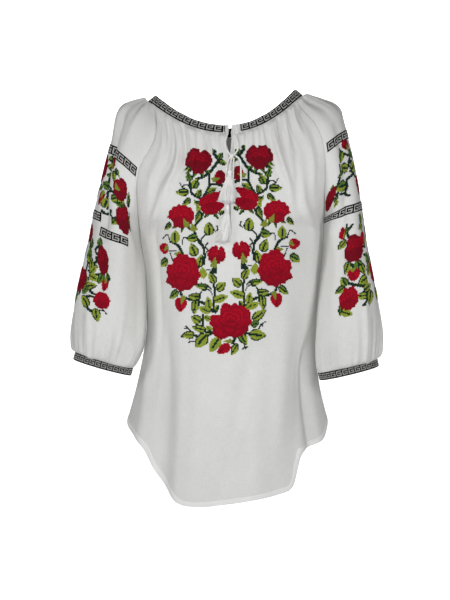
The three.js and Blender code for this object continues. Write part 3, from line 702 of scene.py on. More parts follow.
def neck_point(degrees, down):
    """A point of the neckline at an angle from the centre front, counter-clockwise from above,
    moved down the slope of the band."""
    angle = np.radians(degrees)
    side, front = np.sin(angle), np.cos(angle)
    width = np.where(side > 0, *NECK_HALF_WIDTH)
    depth = np.where(front > 0, *NECK_HALF_DEPTH)
    dip = np.where(front > 0, *NECK_DIP)
    slope = np.radians(mix(SHOULDER_SLOPE, np.where(front > 0, *MIDDLE_SLOPE), front * front))
    x = LINE_X + width * side
    out = np.cos(slope) * down
    z = -dip * (1 - np.abs(side) ** 2.1) + NECK_TILT * x - np.sin(slope) * down
    return np.stack([x + side * out, -depth * front - front * out, z], axis=-1)


def neck_outward(degrees):
    """The band's outward direction: down its slope, crossed with the way round."""
    down = neck_point(degrees, BAND_HEIGHT) - neck_point(degrees, 0.0)
    round_it = neck_point(degrees + 0.5, 8.0) - neck_point(degrees - 0.5, 8.0)
    return unit(np.cross(down, round_it))


# %% Sleeves
def sleeve_section(table, sign, p, v):
    """An arc of an ellipse: p from -1 at the front seam over the crest to 1 at the back."""
    across_x = table["top_x"](v) - table["seam_x"](v)
    across_z = table["top_z"](v) - table["seam_z"](v)
    opening = np.radians(table["open"](v))
    fall = (1 - np.cos(opening * p)) / (1 - np.cos(opening))
    x = sign * (table["top_x"](v) - across_x * fall)
    y = table["mid_y"](v) + table["half_depth"](v) * np.sin(opening * p)
    return np.stack([x, y, table["top_z"](v) - across_z * fall], axis=-1)


def sleeve_surface(table, sign, p, v):
    """The section, moved near the neck on to the band's curve: all the way at v = 0, and not
    at all from NECK_FADE on."""
    edge = neck_point(sign * (90 + (90 - RAGLAN_ANGLE) * p), BAND_HEIGHT)
    pull = (1 - ease(0, NECK_FADE, v))[..., None] * (edge - sleeve_section(table, sign, p, 0.0 * v))
    return sleeve_section(table, sign, p, v) + pull


# %% Front and back
def panel_edge(face, t, v):
    """Where a body panel ends on its own side: the raglan seam, then the side seam."""
    left = sleeve_surface(LEFT_SLEEVE, 1, face + 0.0 * v, np.minimum(v, 1))
    right = sleeve_surface(RIGHT_SLEEVE, -1, face + 0.0 * v, np.minimum(v, 1))
    seam_z = np.where(t < 0, RIGHT_SLEEVE["seam_z"](1.0), LEFT_SLEEVE["seam_z"](1.0))
    x = np.where(t < 0, -SIDE["right_x"](np.maximum(v, 1)), SIDE["left_x"](np.maximum(v, 1)))
    below = np.stack([x, SIDE["y"](np.maximum(v, 1)), mix(seam_z, HEM_SIDE_Z, v - 1)], axis=-1)
    above = np.where((t < 0)[..., None], right, left)
    return np.where((v <= 1)[..., None], above, below)


def panel_section(face, t, v):
    """The middle line joined to the seams: across by the sine of the turn, back by its cosine,
    and up by a bowl at the neck that becomes the shirt tail at the hem."""
    middle, hem = (FRONT_MIDDLE, FRONT_HEM) if face < 0 else (BACK_MIDDLE, BACK_HEM)
    edge = panel_edge(face, t, v)
    turn = np.radians(middle["turn"](v))
    reach = np.sin(turn * np.abs(t)) / np.sin(turn)
    fall = (np.cos(turn * t) - np.cos(turn)) / (1 - np.cos(turn))
    climb = mix(np.abs(t) ** 2.1, hem["climb"](t), ease(1, 1.9, v))
    x = mix(LINE_X, edge[..., 0], reach)
    y = mix(edge[..., 1], middle["y"](v), fall)
    return np.stack([x, y, mix(middle["z"](v), edge[..., 2], climb)], axis=-1)


def panel_surface(face, t, v):
    """The section, moved near the neck on to the band's curve as a sleeve's is."""
    degrees = RAGLAN_ANGLE * t if face < 0 else 180 - RAGLAN_ANGLE * t
    pull = neck_point(degrees, BAND_HEIGHT) - panel_section(face, t, 0.0 * v)
    return panel_section(face, t, v) + (1 - ease(0, NECK_FADE, v))[..., None] * pull


# %% One surface for each piece
# Columns always run counter-clockwise from above, so the back is read from +X to -X and the
# sleeve at -X from its back to its front.
SURFACES = {
    "front": lambda t, v: panel_surface(-1, t, v),
    "back": lambda t, v: panel_surface(1, -t, v),
    "left_sleeve": lambda t, v: sleeve_surface(LEFT_SLEEVE, 1, t, v),
    "right_sleeve": lambda t, v: sleeve_surface(RIGHT_SLEEVE, -1, -t, v),
}
NECK_ANGLE = {
    "front": lambda t: RAGLAN_ANGLE * t,
    "back": lambda t: 180 + RAGLAN_ANGLE * t,
    "left_sleeve": lambda t: 90 + (90 - RAGLAN_ANGLE) * t,
    "right_sleeve": lambda t: 270 + (90 - RAGLAN_ANGLE) * t,
}


def plain(name, t, v):
    """The piece's surface without gathers or folds, at arrays of t and v of one shape."""
    t, v = np.broadcast_arrays(np.asarray(t, float), np.asarray(v, float))
    return SURFACES[name](np.clip(t, -1, 1), np.clip(v, 0, 2))


def outward_of(surface, t, v, step=0.006):
    """Down the piece crossed with round it, from four places close by."""
    down = surface(t, np.minimum(v + step, 2)) - surface(t, np.maximum(v - step, 0))
    along = surface(np.minimum(t + step, 1), v) - surface(np.maximum(t - step, -1), v)
    return unit(np.cross(down, along))


# %% [markdown]
# ## Folds and gathers
# The cloth is gathered into the band, so dozens of pleats start at its edge, no two alike, and
# most die out within a hand's width. A few long folds run on down the body. They are listed
# in tables; the small pleats between them are drawn at random from a fixed seed. A
# cloth simulation would fall differently on each run, and it could not be told where to fold.

# %% Fold tables
# A row is a fold's start (v, t), its end (v, t), its width across t, and how far it rises.
FOLDS = {
    "front": [
        (1.5, 0.55, 2, 0.46, 0.05, 5), (1.42, 0.7, 2, 0.62, 0.07, -13),
        (1.25, -0.56, 2, -0.44, 0.07, -9), (1.55, -0.74, 2, -0.66, 0.07, 5),
        (1.2, -0.22, 2, -0.26, 0.07, 3), (1.15, 0.2, 2, 0.16, 0.08, 3),
        (0.1, 0.62, 1.3, 0.66, 0.05, 4), (0.1, -0.66, 1.2, -0.66, 0.05, 3),
    ],
    "back": [
        (1.2, -0.55, 2, -0.5, 0.08, -8), (1.25, 0.58, 2, 0.5, 0.08, -9),
        (1.1, -0.2, 2, -0.24, 0.09, 4), (1.1, 0.24, 2, 0.2, 0.09, 4), (0.1, 0.6, 1.2, 0.7, 0.06, 4),
        (0.1, -0.6, 1.2, -0.7, 0.06, 4),
    ],
    "left_sleeve": [
        (0.4, -0.62, 1.4, -0.5, 0.1, -6), (1.1, 0.5, 1.95, 0.4, 0.12, -6),
        (1, -0.25, 1.9, -0.2, 0.1, 4),
    ],
    "right_sleeve": [
        (0.3, 0.42, 1.25, 0.34, 0.07, -14), (1.2, -0.4, 1.95, -0.5, 0.12, -6),
        (1.1, 0.15, 1.9, 0.2, 0.1, 4),
    ],
}
print("long folds:", {name: len(rows) for name, rows in FOLDS.items()})

# %% Crease tables
# Smaller creases, written in the same way, that the frame leaves out.
CREASES = {
    "front": [
        (0.04, 0.76, 1, 0.56, 0.04, -5.5), (0.2, 0.92, 0.95, 0.76, 0.045, 4),
        (0.02, -0.68, 1.05, -0.71, 0.04, -6.5), (0.02, -0.49, 0.65, -0.56, 0.018, -3),
        (0.05, -0.86, 0.95, -0.8, 0.045, 4), (0.02, 0.5, 0.9, 0.54, 0.026, 4.4),
        (0.02, 0.38, 0.6, 0.42, 0.022, 3.8), (0.02, -0.6, 0.95, -0.61, 0.03, 4.8),
        (0.02, -0.38, 0.6, -0.42, 0.022, 3.4), (0.02, 0.2, 0.46, 0.22, 0.022, 3.4),
        (0.02, -0.22, 0.46, -0.25, 0.022, 3.4), (0.75, -0.42, 1.75, -0.4, 0.13, 5),
        (0.6, -0.63, 1.9, -0.6, 0.035, -3.5), (0.85, 0.68, 1.5, 0.74, 0.12, 4.5),
        (0.75, 0.95, 1.85, 0.92, 0.07, 7), (1.25, 0.24, 2, -0.06, 0.08, -7),
        (1.2, 0.44, 1.95, 0.34, 0.09, 6.5), (1.45, 0.58, 2, 0.46, 0.05, -6),
        (1.35, -0.36, 2, -0.36, 0.05, 2.5), (0.75, -0.9, 1.6, -0.9, 0.08, 5.5),
    ],
    "back": [
        (0.9, -0.8, 1.7, -0.62, 0.05, -3), (0.95, 0.84, 1.6, 0.7, 0.05, -2.6),
        (1.2, 0.02, 2, -0.03, 0.06, -2.4), (0.02, 0.3, 0.9, 0.34, 0.03, 2.2),
        (0.02, -0.28, 0.8, -0.34, 0.03, 2.2), (1.4, 0.36, 2, 0.34, 0.05, 2),
    ],
    "left_sleeve": [
        (0.02, -0.5, 0.55, -0.46, 0.06, 2.6), (0.02, -0.1, 0.6, -0.16, 0.06, 2.2),
        (0.02, 0.4, 0.6, 0.42, 0.06, 2.4), (0.75, -0.8, 1.4, -0.62, 0.06, 2.6),
        (0.7, -0.36, 1.9, -0.4, 0.1, 5), (0.85, -0.56, 1.95, -0.6, 0.07, -5),
        (1.3, -0.36, 2, -0.3, 0.04, 2), (1.2, 0.1, 2, 0.06, 0.05, 2),
        (1, 0.75, 1.9, 0.7, 0.06, 2.6),
    ],
    "right_sleeve": [
        (0.02, 0.56, 0.5, 0.52, 0.06, 2.4), (0.02, 0.12, 0.55, 0.1, 0.06, 2.6),
        (0.02, -0.4, 0.6, -0.42, 0.06, 2.4), (0.45, 0.6, 1.95, 0.56, 0.1, 6),
        (0.6, 0.84, 1.95, 0.82, 0.08, -6), (1.1, 0.4, 1.7, 0.42, 0.05, -2.4),
        (1.3, 0.3, 2, 0.36, 0.04, 2.2), (1.2, -0.1, 2, -0.06, 0.05, 2),
        (1, -0.75, 1.9, -0.7, 0.06, 2.6),
    ],
}
print("smaller creases:", {name: len(rows) for name, rows in CREASES.items()})

# %% Gathers and small pleats
GATHERS = {  # pleats of the frame's own surface, at the neck and at the cuff
    "front": (11, 0),
    "back": (8, 0),
    "left_sleeve": (5, 7),
    "right_sleeve": (5, 7),
}
GATHER_DEPTH = 3.2
PLEATS = {  # small pleats drawn at random: at the neck, at the cuff, and the seed
    "front": (34, 0, 11),
    "back": (30, 0, 12),
    "left_sleeve": (13, 30, 13),
    "right_sleeve": (13, 30, 14),
}


# %% Height of the cloth above its plain surface
def folds_height(rows, t, v):
    """Each fold is a bell across t, whose middle runs from t0 at v0 to t1 at v1. It rises over
    its first part and, if it stops short of the edge, dies out over its last."""
    height = 0.0 * t
    for v0, t0, v1, t1, width, rise in rows:
        along = (v - v0) / (v1 - v0)
        away = (t - mix(t0, t1, along)) / width
        fade = 1 - ease(0.6, 1, along) if v1 < 2 else 1.0
        height = height + rise * ease(0, 0.4, along) * fade * np.exp(-away * away)
    return height


def gather_height(name, t, v):
    """Two sine waves across the piece, strong below the band and above the cuff."""
    neck_count, cuff_count = GATHERS[name]
    across = (t + 1) / 2 + 0.012 * np.sin(9 * t)

    def wave(count):
        second = 2 * np.pi * 0.61 * count * across + 1.3
        return 0.6 * np.sin(2 * np.pi * count * across) + 0.4 * np.sin(second)

    neck = ease(0, 0.06, v) * (1 - ease(0.1, 0.85, v)) * (wave(neck_count) + 0.6)
    cuff = ease(1.62, 1.92, v) * (1 - ease(1.93, 2, v)) * wave(cuff_count) if cuff_count else 0.0
    return GATHER_DEPTH * (neck + cuff)


def pleat_height(name, t, v):
    """Small pleats, each a bell across t with its own place, width, length, height and lean."""
    neck_count, cuff_count, seed = PLEATS[name]
    rng = np.random.default_rng(seed)
    height = 0.0 * t
    for count, away_from in ((neck_count, v), (cuff_count, 2 - v)):
        places = -1 + 2 * (np.arange(count) + 0.5 + rng.uniform(-0.35, 0.35, count)) / max(count, 1)
        wide = rng.uniform(0.4, 0.8, count) / max(count, 1)
        long = rng.uniform(0.3, 0.8, count) * rng.uniform(0.6, 1.3, count)
        rise = rng.uniform(1.8, 4.6, count)
        lean = rng.uniform(-0.05, 0.05, count)
        for place, width, length, top, slant in zip(places, wide, long, rise, lean):
            away = (t - place - slant * away_from) / (width * (1 + 1.2 * away_from))
            swell = ease(0, 0.035, away_from) * (1 - ease(0.15 * length, length, away_from))
            height = height + top * swell * np.exp(-(np.abs(away) ** 1.5))
    return height


SEAM_RISE = 0.4  # the cloth stands this much above its sewn edges
HALF_WIDTH = {"front": 185.0, "back": 175.0, "left_sleeve": 165.0, "right_sleeve": 165.0}


def cloth_height(name, t, v):
    """All of them together, and nought on every seam: a seam is the bottom of a soft valley."""
    folded = (
        gather_height(name, t, v)
        + folds_height(FOLDS[name], t, v)
        + folds_height(CREASES[name], t, v)
        + pleat_height(name, t, v)
    )
    ripple = 0.5 * np.sin(7.0 * t + 5.0 * v + 2 * np.sin(3 * v)) * ease(0.2, 0.6, v)
    to_seam = (1 - np.abs(t)) * HALF_WIDTH[name]
    valley = SEAM_RISE * (1 - np.exp(-((to_seam / 5.0) ** 2))) * ease(0, 0.03, v)
    return (folded + ripple) * (1 - t**10) + valley


# %% [markdown]
# ## The keyhole and slit
# The front opens at its middle: a keyhole just below the band, then a slit whose edges lie
# side by side. The cloth on each side is pushed apart by the slit's half width, which dies out
# a finger's width away, and a narrow facing makes its edges stand a little proud.

# %% Slit
SLIT_END = 1.0
SLIT_REACH = 16.0
KEYHOLE_HALF = (5.6, 2.3)  # to the wearer's right and left of the centre line
FACING_RISE, FACING_PLACE, FACING_WIDTH = 0.9, 2.2, 2.6
FRONT_SCALE = 0.8  # near the slit the cloth is this much closer than half the panel's width tells


def slit_half(t, v):
    """Half the opening at v: the keyhole, which is wider on the side of t < 0, then a thin
    line that closes at the slit's end."""
    widest = np.where(t < 0, *KEYHOLE_HALF)
    keyhole = widest * mix(0.45, 1, ease(0, 0.06, v)) * (1 - ease(0.08, 0.24, v))
    return keyhole + 0.42 * (1 - ease(0.92, SLIT_END, v))


def cloth_surface(name, t, v, lift=0.0):
    """The cloth's outer face, or a place lift millimetres above it."""
    t, v = np.broadcast_arrays(np.asarray(t, float), np.asarray(v, float))
    base = plain(name, t, v)
    outward = outward_of(lambda a, b: plain(name, a, b), t, v)
    height = cloth_height(name, t, v) + lift
    if name == "front":
        away = np.abs(t) * HALF_WIDTH["front"] * FRONT_SCALE
        open_here = slit_half(t, v)
        facing = FACING_RISE * np.exp(-(((away - FACING_PLACE) / FACING_WIDTH) ** 2)) * (v < SLIT_END)
        height = height + facing * ease(0, 0.03, v)
        shift = np.where(t < 0, -1.0, 1.0) * open_here * np.exp(-((away / SLIT_REACH) ** 2))
        base = base + shift[..., None] * np.array([1.0, 0.0, 0.0])
    return base + outward * height[..., None]


# %% [markdown]
# ## The front, back and sleeves
# Each is one sheet with a wall of 0.8 mm, the real cloth's own thickness with its nap. The grid
# is fine enough for the smallest pleat to bend over several faces. The first row is tucked
# under the neck band, as the gathered edge is on the real blouse. A sleeve closes on itself
# below the armpit, where its two edges are one underarm seam.

# %% Sheets of cloth
CLOTH_WALL = 0.8
TUCK, TUCK_DEPTH = 3.0, 1.1  # how far the cloth runs up under the band, and how far inside it
ROWS_ABOVE = 84
ROWS_BELOW = {"front": 120, "back": 92, "left_sleeve": 92, "right_sleeve": 92}
COLUMNS = {"front": 168, "back": 120, "left_sleeve": 132, "right_sleeve": 132}
BESIDE_LINE = 1e-6  # a t just off the centre line, so that it is on one side of the slit


def row_places(name):
    """Rows down the piece, closer together where the small pleats are."""
    below = np.linspace(1, 2, ROWS_BELOW[name] + 1)[1:]
    return np.concatenate([np.linspace(0, 1, ROWS_ABOVE), below])


def length_down(name, v):
    """Length of cloth down the middle of the piece, from the neck."""
    places = np.linspace(0, 2, 401)
    return np.interp(v, places, run_along(plain(name, 0.0, places)))


def cloth_piece(name):
    """The sheet as a grid of rows and columns, with the tucked row on top. The front's middle
    column is doubled down to the slit's end, one copy for each side."""
    columns = COLUMNS[name]
    v = row_places(name)
    t = np.linspace(-1, 1, columns + 1)
    t_grid, v_grid = np.meshgrid(t, v)
    if name == "front":
        t_grid = np.where(t_grid == 0, -BESIDE_LINE, t_grid)
    points = cloth_surface(name, t_grid, v_grid)
    degrees = NECK_ANGLE[name](t)
    tucked = neck_point(degrees, BAND_HEIGHT - TUCK) - TUCK_DEPTH * neck_outward(degrees)
    points = np.concatenate([tucked[None], points])
    uv = np.stack([t_grid * HALF_WIDTH[name], length_down(name, v_grid)], axis=-1)
    uv = np.concatenate([uv[:1] - np.array([0, TUCK]), uv])
    index = np.arange(points[..., 0].size).reshape(points.shape[:2])
    points, uv = points.reshape(-1, 3), uv.reshape(-1, 2)
    left, right = index[:, :-1].copy(), index[:, 1:].copy()
    if name == "front":
        middle = columns // 2
        open_rows = np.concatenate([[True], v < SLIT_END])
        twins = cloth_surface(name, np.full(v.shape, BESIDE_LINE), v)
        twin_top = tucked[middle] + np.array([slit_half(1.0, 0.0), 0, 0])
        points[index[0, middle]] -= np.array([slit_half(-1.0, 0.0), 0, 0])
        twins = np.concatenate([twin_top[None], twins])[open_rows]
        twin_index = len(points) + np.arange(len(twins))
        points = np.concatenate([points, twins])
        uv = np.concatenate([uv, uv[index[open_rows, middle]]])
        left[open_rows, middle] = twin_index
    else:
        closed_rows = np.concatenate([[False], v >= 1]) & name.endswith("sleeve")
        right[closed_rows, -1] = index[closed_rows, 0]
    faces = np.stack([left[:-1], left[1:], right[1:], right[:-1]], axis=-1).reshape(-1, 4)
    used, faces = np.unique(faces, return_inverse=True)
    faces = faces.reshape(-1, 4)
    piece = make_piece(f"{name}_cloth", points[used], faces, [cotton], uv=uv[used])
    give_wall(piece, CLOTH_WALL)
    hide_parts(name)
    return piece


def area_of(piece):
    """Area of the sheet itself, one side, in square metres."""
    return sum(polygon.area for polygon in piece.data.polygons)


cloth = {name: cloth_piece(name) for name in COLUMNS}
for name, piece in cloth.items():
    print(name, len(piece.data.polygons), "faces,", round(area_of(piece), 3), "square metres")

# %% [markdown]
# ## The hems
# The shirt tails end in a narrow hem, turned twice and about 9 mm wide. Three layers of
# cloth look lighter than one, so the hem shows as a pale strip. Its section is a flat loop
# round the cloth's edge, carried along it; a thin strip laid on the front face would show its
# cut edge from below.

# %% Hem
HEM_WIDTH = 8.5
PUCKER, PUCKER_PITCH = 0.16, 3.6
HEM_ROW = 1.6  # between two rows of the section, for the weave
HEM_SECTION = [  # distance up from the edge as a share of the width, height above the cloth
    (1, -0.1), (0.97, 0.45), (0.75, 0.62), (0.4, 0.66), (0.1, 0.6), (-0.03, 0.2),
    (-0.05, -0.4), (-0.03, -1), (0.1, -1.35), (0.5, -1.4), (0.95, -1.3), (1, -0.8),
]


def carried_loop(name, rings, along, step, material, closed=False, turn=1):
    """A piece whose section is a closed loop: rings holds each point of the loop at every place
    along. It ends in the loop's middle, or if closed its last loop is joined to its first."""
    points = np.stack(rings, axis=1)
    if not closed:
        ends = points[[0, -1]].mean(axis=1, keepdims=True).repeat(len(rings), axis=1)
        points = np.concatenate([ends[:1], points, ends[1:]])
        along = np.concatenate([along[:1], along, along[-1:]])
    rows, columns = points.shape[:2]
    uv = np.stack(np.broadcast_arrays(along[:, None], np.arange(columns) * step), axis=-1)
    faces = grid_faces(rows, columns, closed=True)
    if closed:
        first = np.arange(columns)
        last, beside = (rows - 1) * columns, (first + 1) % columns
        seam = np.stack([last + first, first, beside, last + beside], axis=-1)
        faces = np.concatenate([faces, seam])
    points, uv = points.reshape(-1, 3), uv.reshape(-1, 2)
    return make_piece(name, points, faces[:, ::turn], [material], uv=uv)


def hem_piece(name, steps=260, nearby=0.03):
    """The hem's section at steps places along the edge. The width is measured square to the
    edge, so it is longer along the columns where the edge climbs."""
    t = np.linspace(-1, 1, steps + 1)
    edge = cloth_surface(name, t, np.full(t.shape, 2.0))
    above = cloth_surface(name, t, np.full(t.shape, 2.0 - nearby))
    down = unit(edge - above)
    slant = (unit(np.gradient(edge, axis=0)) * down).sum(axis=1)
    square = np.sqrt(np.maximum(1 - slant**2, 0.16))
    for_length = np.linalg.norm(edge - above, axis=1) / nearby
    pulled = np.sin(2 * np.pi * t * HALF_WIDTH[name] / PUCKER_PITCH) * np.sin(23 * t)
    pucker = 1 + PUCKER * pulled
    rings = []
    for up, height in HEM_SECTION:
        distance = np.full(t.shape, up * HEM_WIDTH) / square
        v = 2 - np.maximum(distance, 0) / for_length
        base = cloth_surface(name, t, v, height * pucker if height > 0 else height)
        rings.append(base + down * np.maximum(-distance, 0)[:, None])
    along = t * HALF_WIDTH[name]
    return carried_loop(f"{name}_hem", rings, along, HEM_ROW, hem_cotton)


hems = {name: hem_piece(name) for name in ("front", "back")}
print("hem faces", [len(hem.data.polygons) for hem in hems.values()])

# %% [markdown]
# ## The neck band and cuffs
# The band is a woven black ribbon, folded over the gathers, with the meander standing on it in
# pale thread. Its section is a flat loop with soft edges, carried round the neckline. A cuff
# is the same ribbon, closed on itself round the end of the sleeve.

# %% Black ribbon
RIB_PITCH = 0.9 * MM
RIB_HEIGHT = 0.15 * MM
WEAR_SCALE = 160.0


def ribbon(name, dark, light):
    """Rib-woven cotton ribbon, dyed black, so it is matt and swallows light: fine ribs along
    its own UV, a little greyer where they catch the light."""
    material, tree, shader = new_material(name)
    flat = node(tree, "UVMap", {"uv_map": "cloth"}).outputs["UV"]
    place = node(tree, "TexCoord").outputs["Object"]
    fine = {"Scale": wave_scale(RIB_PITCH), "Distortion": 0.8}
    ribs = node(tree, "TexWave", {"bands_direction": "X"}, Vector=flat, **fine)
    worn = node(tree, "TexNoise", Vector=place, Scale=WEAR_SCALE, Detail=3.0)
    ribs, worn = ribs.outputs["Fac"], worn.outputs["Fac"]
    tone = node(tree, "Math", MULTIPLY, n0=ribs, n1=worn).outputs[0]
    paint(tree, shader, tone, dark, light, 0.1, 0.6)
    bump = node(tree, "Bump", Strength=0.5, Distance=RIB_HEIGHT, Height=ribs)
    tree.links.new(bump.outputs["Normal"], shader.inputs["Normal"])
    set_surface(shader, roughness=0.8, specular=0.1)
    return material


black_ribbon = ribbon("black_woven_ribbon", "#060606", "#141413")
cuff_ribbon = ribbon("charcoal_woven_ribbon", "#1C1C1B", "#343432")

RIBBON_ROW = 2.0
RIBBON_SECTION = [  # share of the width from its upper edge, height above its own surface
    (0, 0), (0.02, 0.5), (0.08, 0.75), (0.3, 0.8), (0.7, 0.8), (0.92, 0.75), (0.98, 0.5),
    (1, 0), (1, -1.2), (0.97, -1.8), (0.5, -1.9), (0.03, -1.8), (0, -1.2),
]


def ribbon_piece(name, place, along, height, length, material, closed):
    """The ribbon's section at each place along it; place(along, down, lift) is its surface."""
    rings = [place(along, share * height, lift) for share, lift in RIBBON_SECTION]
    run = np.linspace(0, length, len(along))
    return carried_loop(name, rings, run, RIBBON_ROW, material, closed, turn=-1)


# %% Neck band
BAND_FROM, BAND_TO = 7.8, 360 - 3.6


def band_place(degrees, down, lift):
    """The neckline's own surface, with a slow unevenness of half a millimetre."""
    angle = np.radians(degrees)
    height = lift + 0.35 * np.sin(17 * angle) + 0.25 * np.sin(29 * angle + 1)
    outward = neck_outward(degrees)
    return neck_point(degrees, down + 0.0 * degrees) + outward * height[..., None]


band_degrees = np.linspace(BAND_TO, BAND_FROM, 300)
band_length = run_along(neck_point(band_degrees, BAND_HEIGHT / 2))[-1]
band = (band_place, band_degrees, BAND_HEIGHT, band_length, black_ribbon)
neck_band = ribbon_piece("neck_band_ribbon", *band, closed=False)
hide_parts("neck_band")
print("neck band", round(band_length), "mm long")

# %% Cuffs
CUFF_HEIGHT = 12.0
CUFF_LAP = 1.2  # how far the cuff laps over the end of the sleeve
CUFF_DROP = 0.4  # how far all of it lies lower than that


def cuff_place(table, sign):
    """Surface of a cuff: the sleeve's last ellipse, moved down along the arm. The angle runs
    counter-clockwise from above, from the crest."""
    top = np.array([table["top_x"](2.0), 0, table["top_z"](2.0)])
    seam = np.array([table["seam_x"](2.0), 0, table["seam_z"](2.0)])
    radius = np.linalg.norm(top - seam) / 2
    across = (top - seam) / (2 * radius)
    down = np.array([across[2] * sign, 0, -across[0]])
    across = across * np.array([sign, 1, 1])
    middle = np.array([sign * top[0], table["mid_y"](2.0), top[2]]) - across * radius
    deep = table["half_depth"](2.0)

    def place(angle, drop, lift):
        wobble = 0.3 * np.sin(5 * angle) + 0.25 * np.sin(9 * angle + 1)
        out = lift + wobble
        turn = sign * angle
        flat = across * ((radius + out) * np.cos(turn))[..., None]
        side = np.array([0, 1.0, 0]) * ((deep + out) * np.sin(turn))[..., None]
        return middle + flat + side + down * np.asarray(drop + 0.0 * angle)[..., None]

    return place


CUFF_PLACES = {"left": cuff_place(LEFT_SLEEVE, 1), "right": cuff_place(RIGHT_SLEEVE, -1)}
for side, place in CUFF_PLACES.items():
    angles = np.linspace(2 * np.pi, 0, 120, endpoint=False)
    lapped = lambda angle, down, lift: place(angle, down - CUFF_LAP + CUFF_DROP, lift)
    length = run_along(place(np.linspace(0, 2 * np.pi, 200), CUFF_HEIGHT / 2, 0.0))[-1]
    cuff = (lapped, angles, CUFF_HEIGHT + CUFF_LAP, length, cuff_ribbon)
    piece = ribbon_piece(f"{side}_cuff_ribbon", *cuff, closed=True)
    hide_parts(f"{side}_cuff")
    print(side, "cuff", round(length), "mm round")

# %% [markdown]
# ## The cloth between the band's ends
# The band stops short on each side of the keyhole, and the gathered cloth itself stands up to
# the neckline there, bunched where the ties leave it. Each side is a small corrugated sheet
# that starts under the end of the band.

# %% Bunched cloth
def bunched(name, start, end, creases):
    """From the keyhole's edge to under the band, as high as the band, with upright creases
    that are deepest halfway up."""
    rows, columns, width = 16, 30, 14.0
    heights = np.linspace(-0.6, BAND_HEIGHT + 2.5, rows)
    s, down = np.meshgrid(np.linspace(0, 1, columns), heights)
    degrees = mix(start, end, s)
    crease = np.cos(2 * np.pi * creases * s + 0.6 * np.sin(down / 4))
    crease = crease * (0.5 + 0.5 * np.sin(np.pi * down / 19))
    lift = 0.15 + 0.8 * crease - 0.5 * (s < 0.02)
    points = neck_point(degrees, down) + neck_outward(degrees) * lift[..., None]
    points[..., 2] += 0.8 * np.cos(2 * np.pi * creases * s) * (1 - down / BAND_HEIGHT) * (down < 8)
    points, uv = points.reshape(-1, 3), np.stack([s * width, down], axis=-1).reshape(-1, 2)
    faces = grid_faces(rows, columns)
    return give_wall(make_piece(name, points, faces, [hem_cotton], uv=uv), CLOTH_WALL)


right_bunch = bunched("right_neck_bunch", -4.6, -1.0, 1.6)
left_bunch = bunched("left_neck_bunch", 1.1, 8.8, 3.2)
print("bunched cloth beside the keyhole:", right_bunch.name, left_bunch.name)

# %% [markdown]
# ## Charts for the needlework
# Cross stitch is worked on a chart: a grid of squares, each with one thread colour. Here a
# chart is an array of thread numbers with the place of each square on the cloth, x to the
# wearer's left and y up, in millimetres. The motifs are drawn on it with a few shapes, and a
# later motif covers an earlier one.

# %% Chart
REDS = ("crimson", "deep_red", "wine", "scarlet")
THREADS = (None, *REDS, "leaf", "moss", "stem", "sepal", "black", "pale", "ash")
STITCH = 1.75  # one cross, in millimetres


def blank_chart(half_width, top, bottom, pitch=STITCH):
    """Squares from -half_width to half_width, and from height top down to bottom."""
    columns = 2 * int(half_width / pitch)
    x = (np.arange(columns) - columns / 2 + 0.5) * pitch
    y = np.arange(top - pitch / 2, bottom, -pitch)
    x_grid, y_grid = np.meshgrid(x, y)
    return {"x": x_grid, "y": y_grid, "pitch": pitch, "thread": np.zeros(x_grid.shape, int)}


def fill(chart, squares, thread):
    chart["thread"][squares] = THREADS.index(thread)


def seen_from(chart, x, y, turn):
    """Each square's place as seen from (x, y) by someone who faces turn degrees: how far
    ahead it is, and how far to the left."""
    angle = math.radians(turn)
    across, up = chart["x"] - x, chart["y"] - y
    ahead = across * math.cos(angle) + up * math.sin(angle)
    return ahead, up * math.cos(angle) - across * math.sin(angle)


def mirrored(chart, rows_up=0, columns_back=0):
    """The other half of a chart: a copy turned over left to right, then moved up and back."""
    other = np.zeros_like(chart["thread"])
    rows, columns = len(other) - rows_up, other.shape[1] - columns_back
    other[:rows, :columns] = chart["thread"][rows_up:, ::-1][:, columns_back:]
    return {**chart, "thread": np.where(chart["thread"] > 0, chart["thread"], other)}


# %% Leaves and vines
LEAVES = {  # left side, right side, vein, outline of the right side
    "plain": ("leaf", "leaf", None, None),
    "veined": ("leaf", "leaf", "stem", None),
    "turned": ("leaf", "moss", "stem", "stem"),
    "edged": ("leaf", "leaf", "stem", "stem"),
    "dark": ("moss", "moss", "stem", "stem"),
    "sepal": ("sepal", "sepal", None, None),
}


LEAF_FORM, SEPAL_FORM = (1.31, 0.55, 0.9), (1, 0.3, 1.2)  # fullness, swell and taper


def leaf(chart, x, y, length, width, tip, kind="veined"):
    """A leaf round (x, y) whose tip points at tip degrees. Its half width goes as
    s^swell (1 - s)^taper from the stalk, s = 0, to the tip, s = 1."""
    left, right, vein, outline = LEAVES[kind]
    ahead, aside = seen_from(chart, x, y, tip)
    s = ahead / length + 0.5
    full, swell, taper = SEPAL_FORM if kind == "sepal" else LEAF_FORM
    half = full * width * clamp01(s) ** swell * clamp01(1 - s) ** taper
    inside = (s > 0) & (s < 1) & (np.abs(aside) < half)
    fill(chart, inside & (aside >= 0), left)
    fill(chart, inside & (aside < 0), right)
    if vein:
        fill(chart, inside & (np.abs(aside) < 0.055 * width * chart["pitch"]) & (s < 0.75), vein)
    if outline:
        rim = half - np.abs(aside) < 1.3 * chart["pitch"]
        fill(chart, inside & rim & ((aside < 0) | (s < 0.4)), outline)


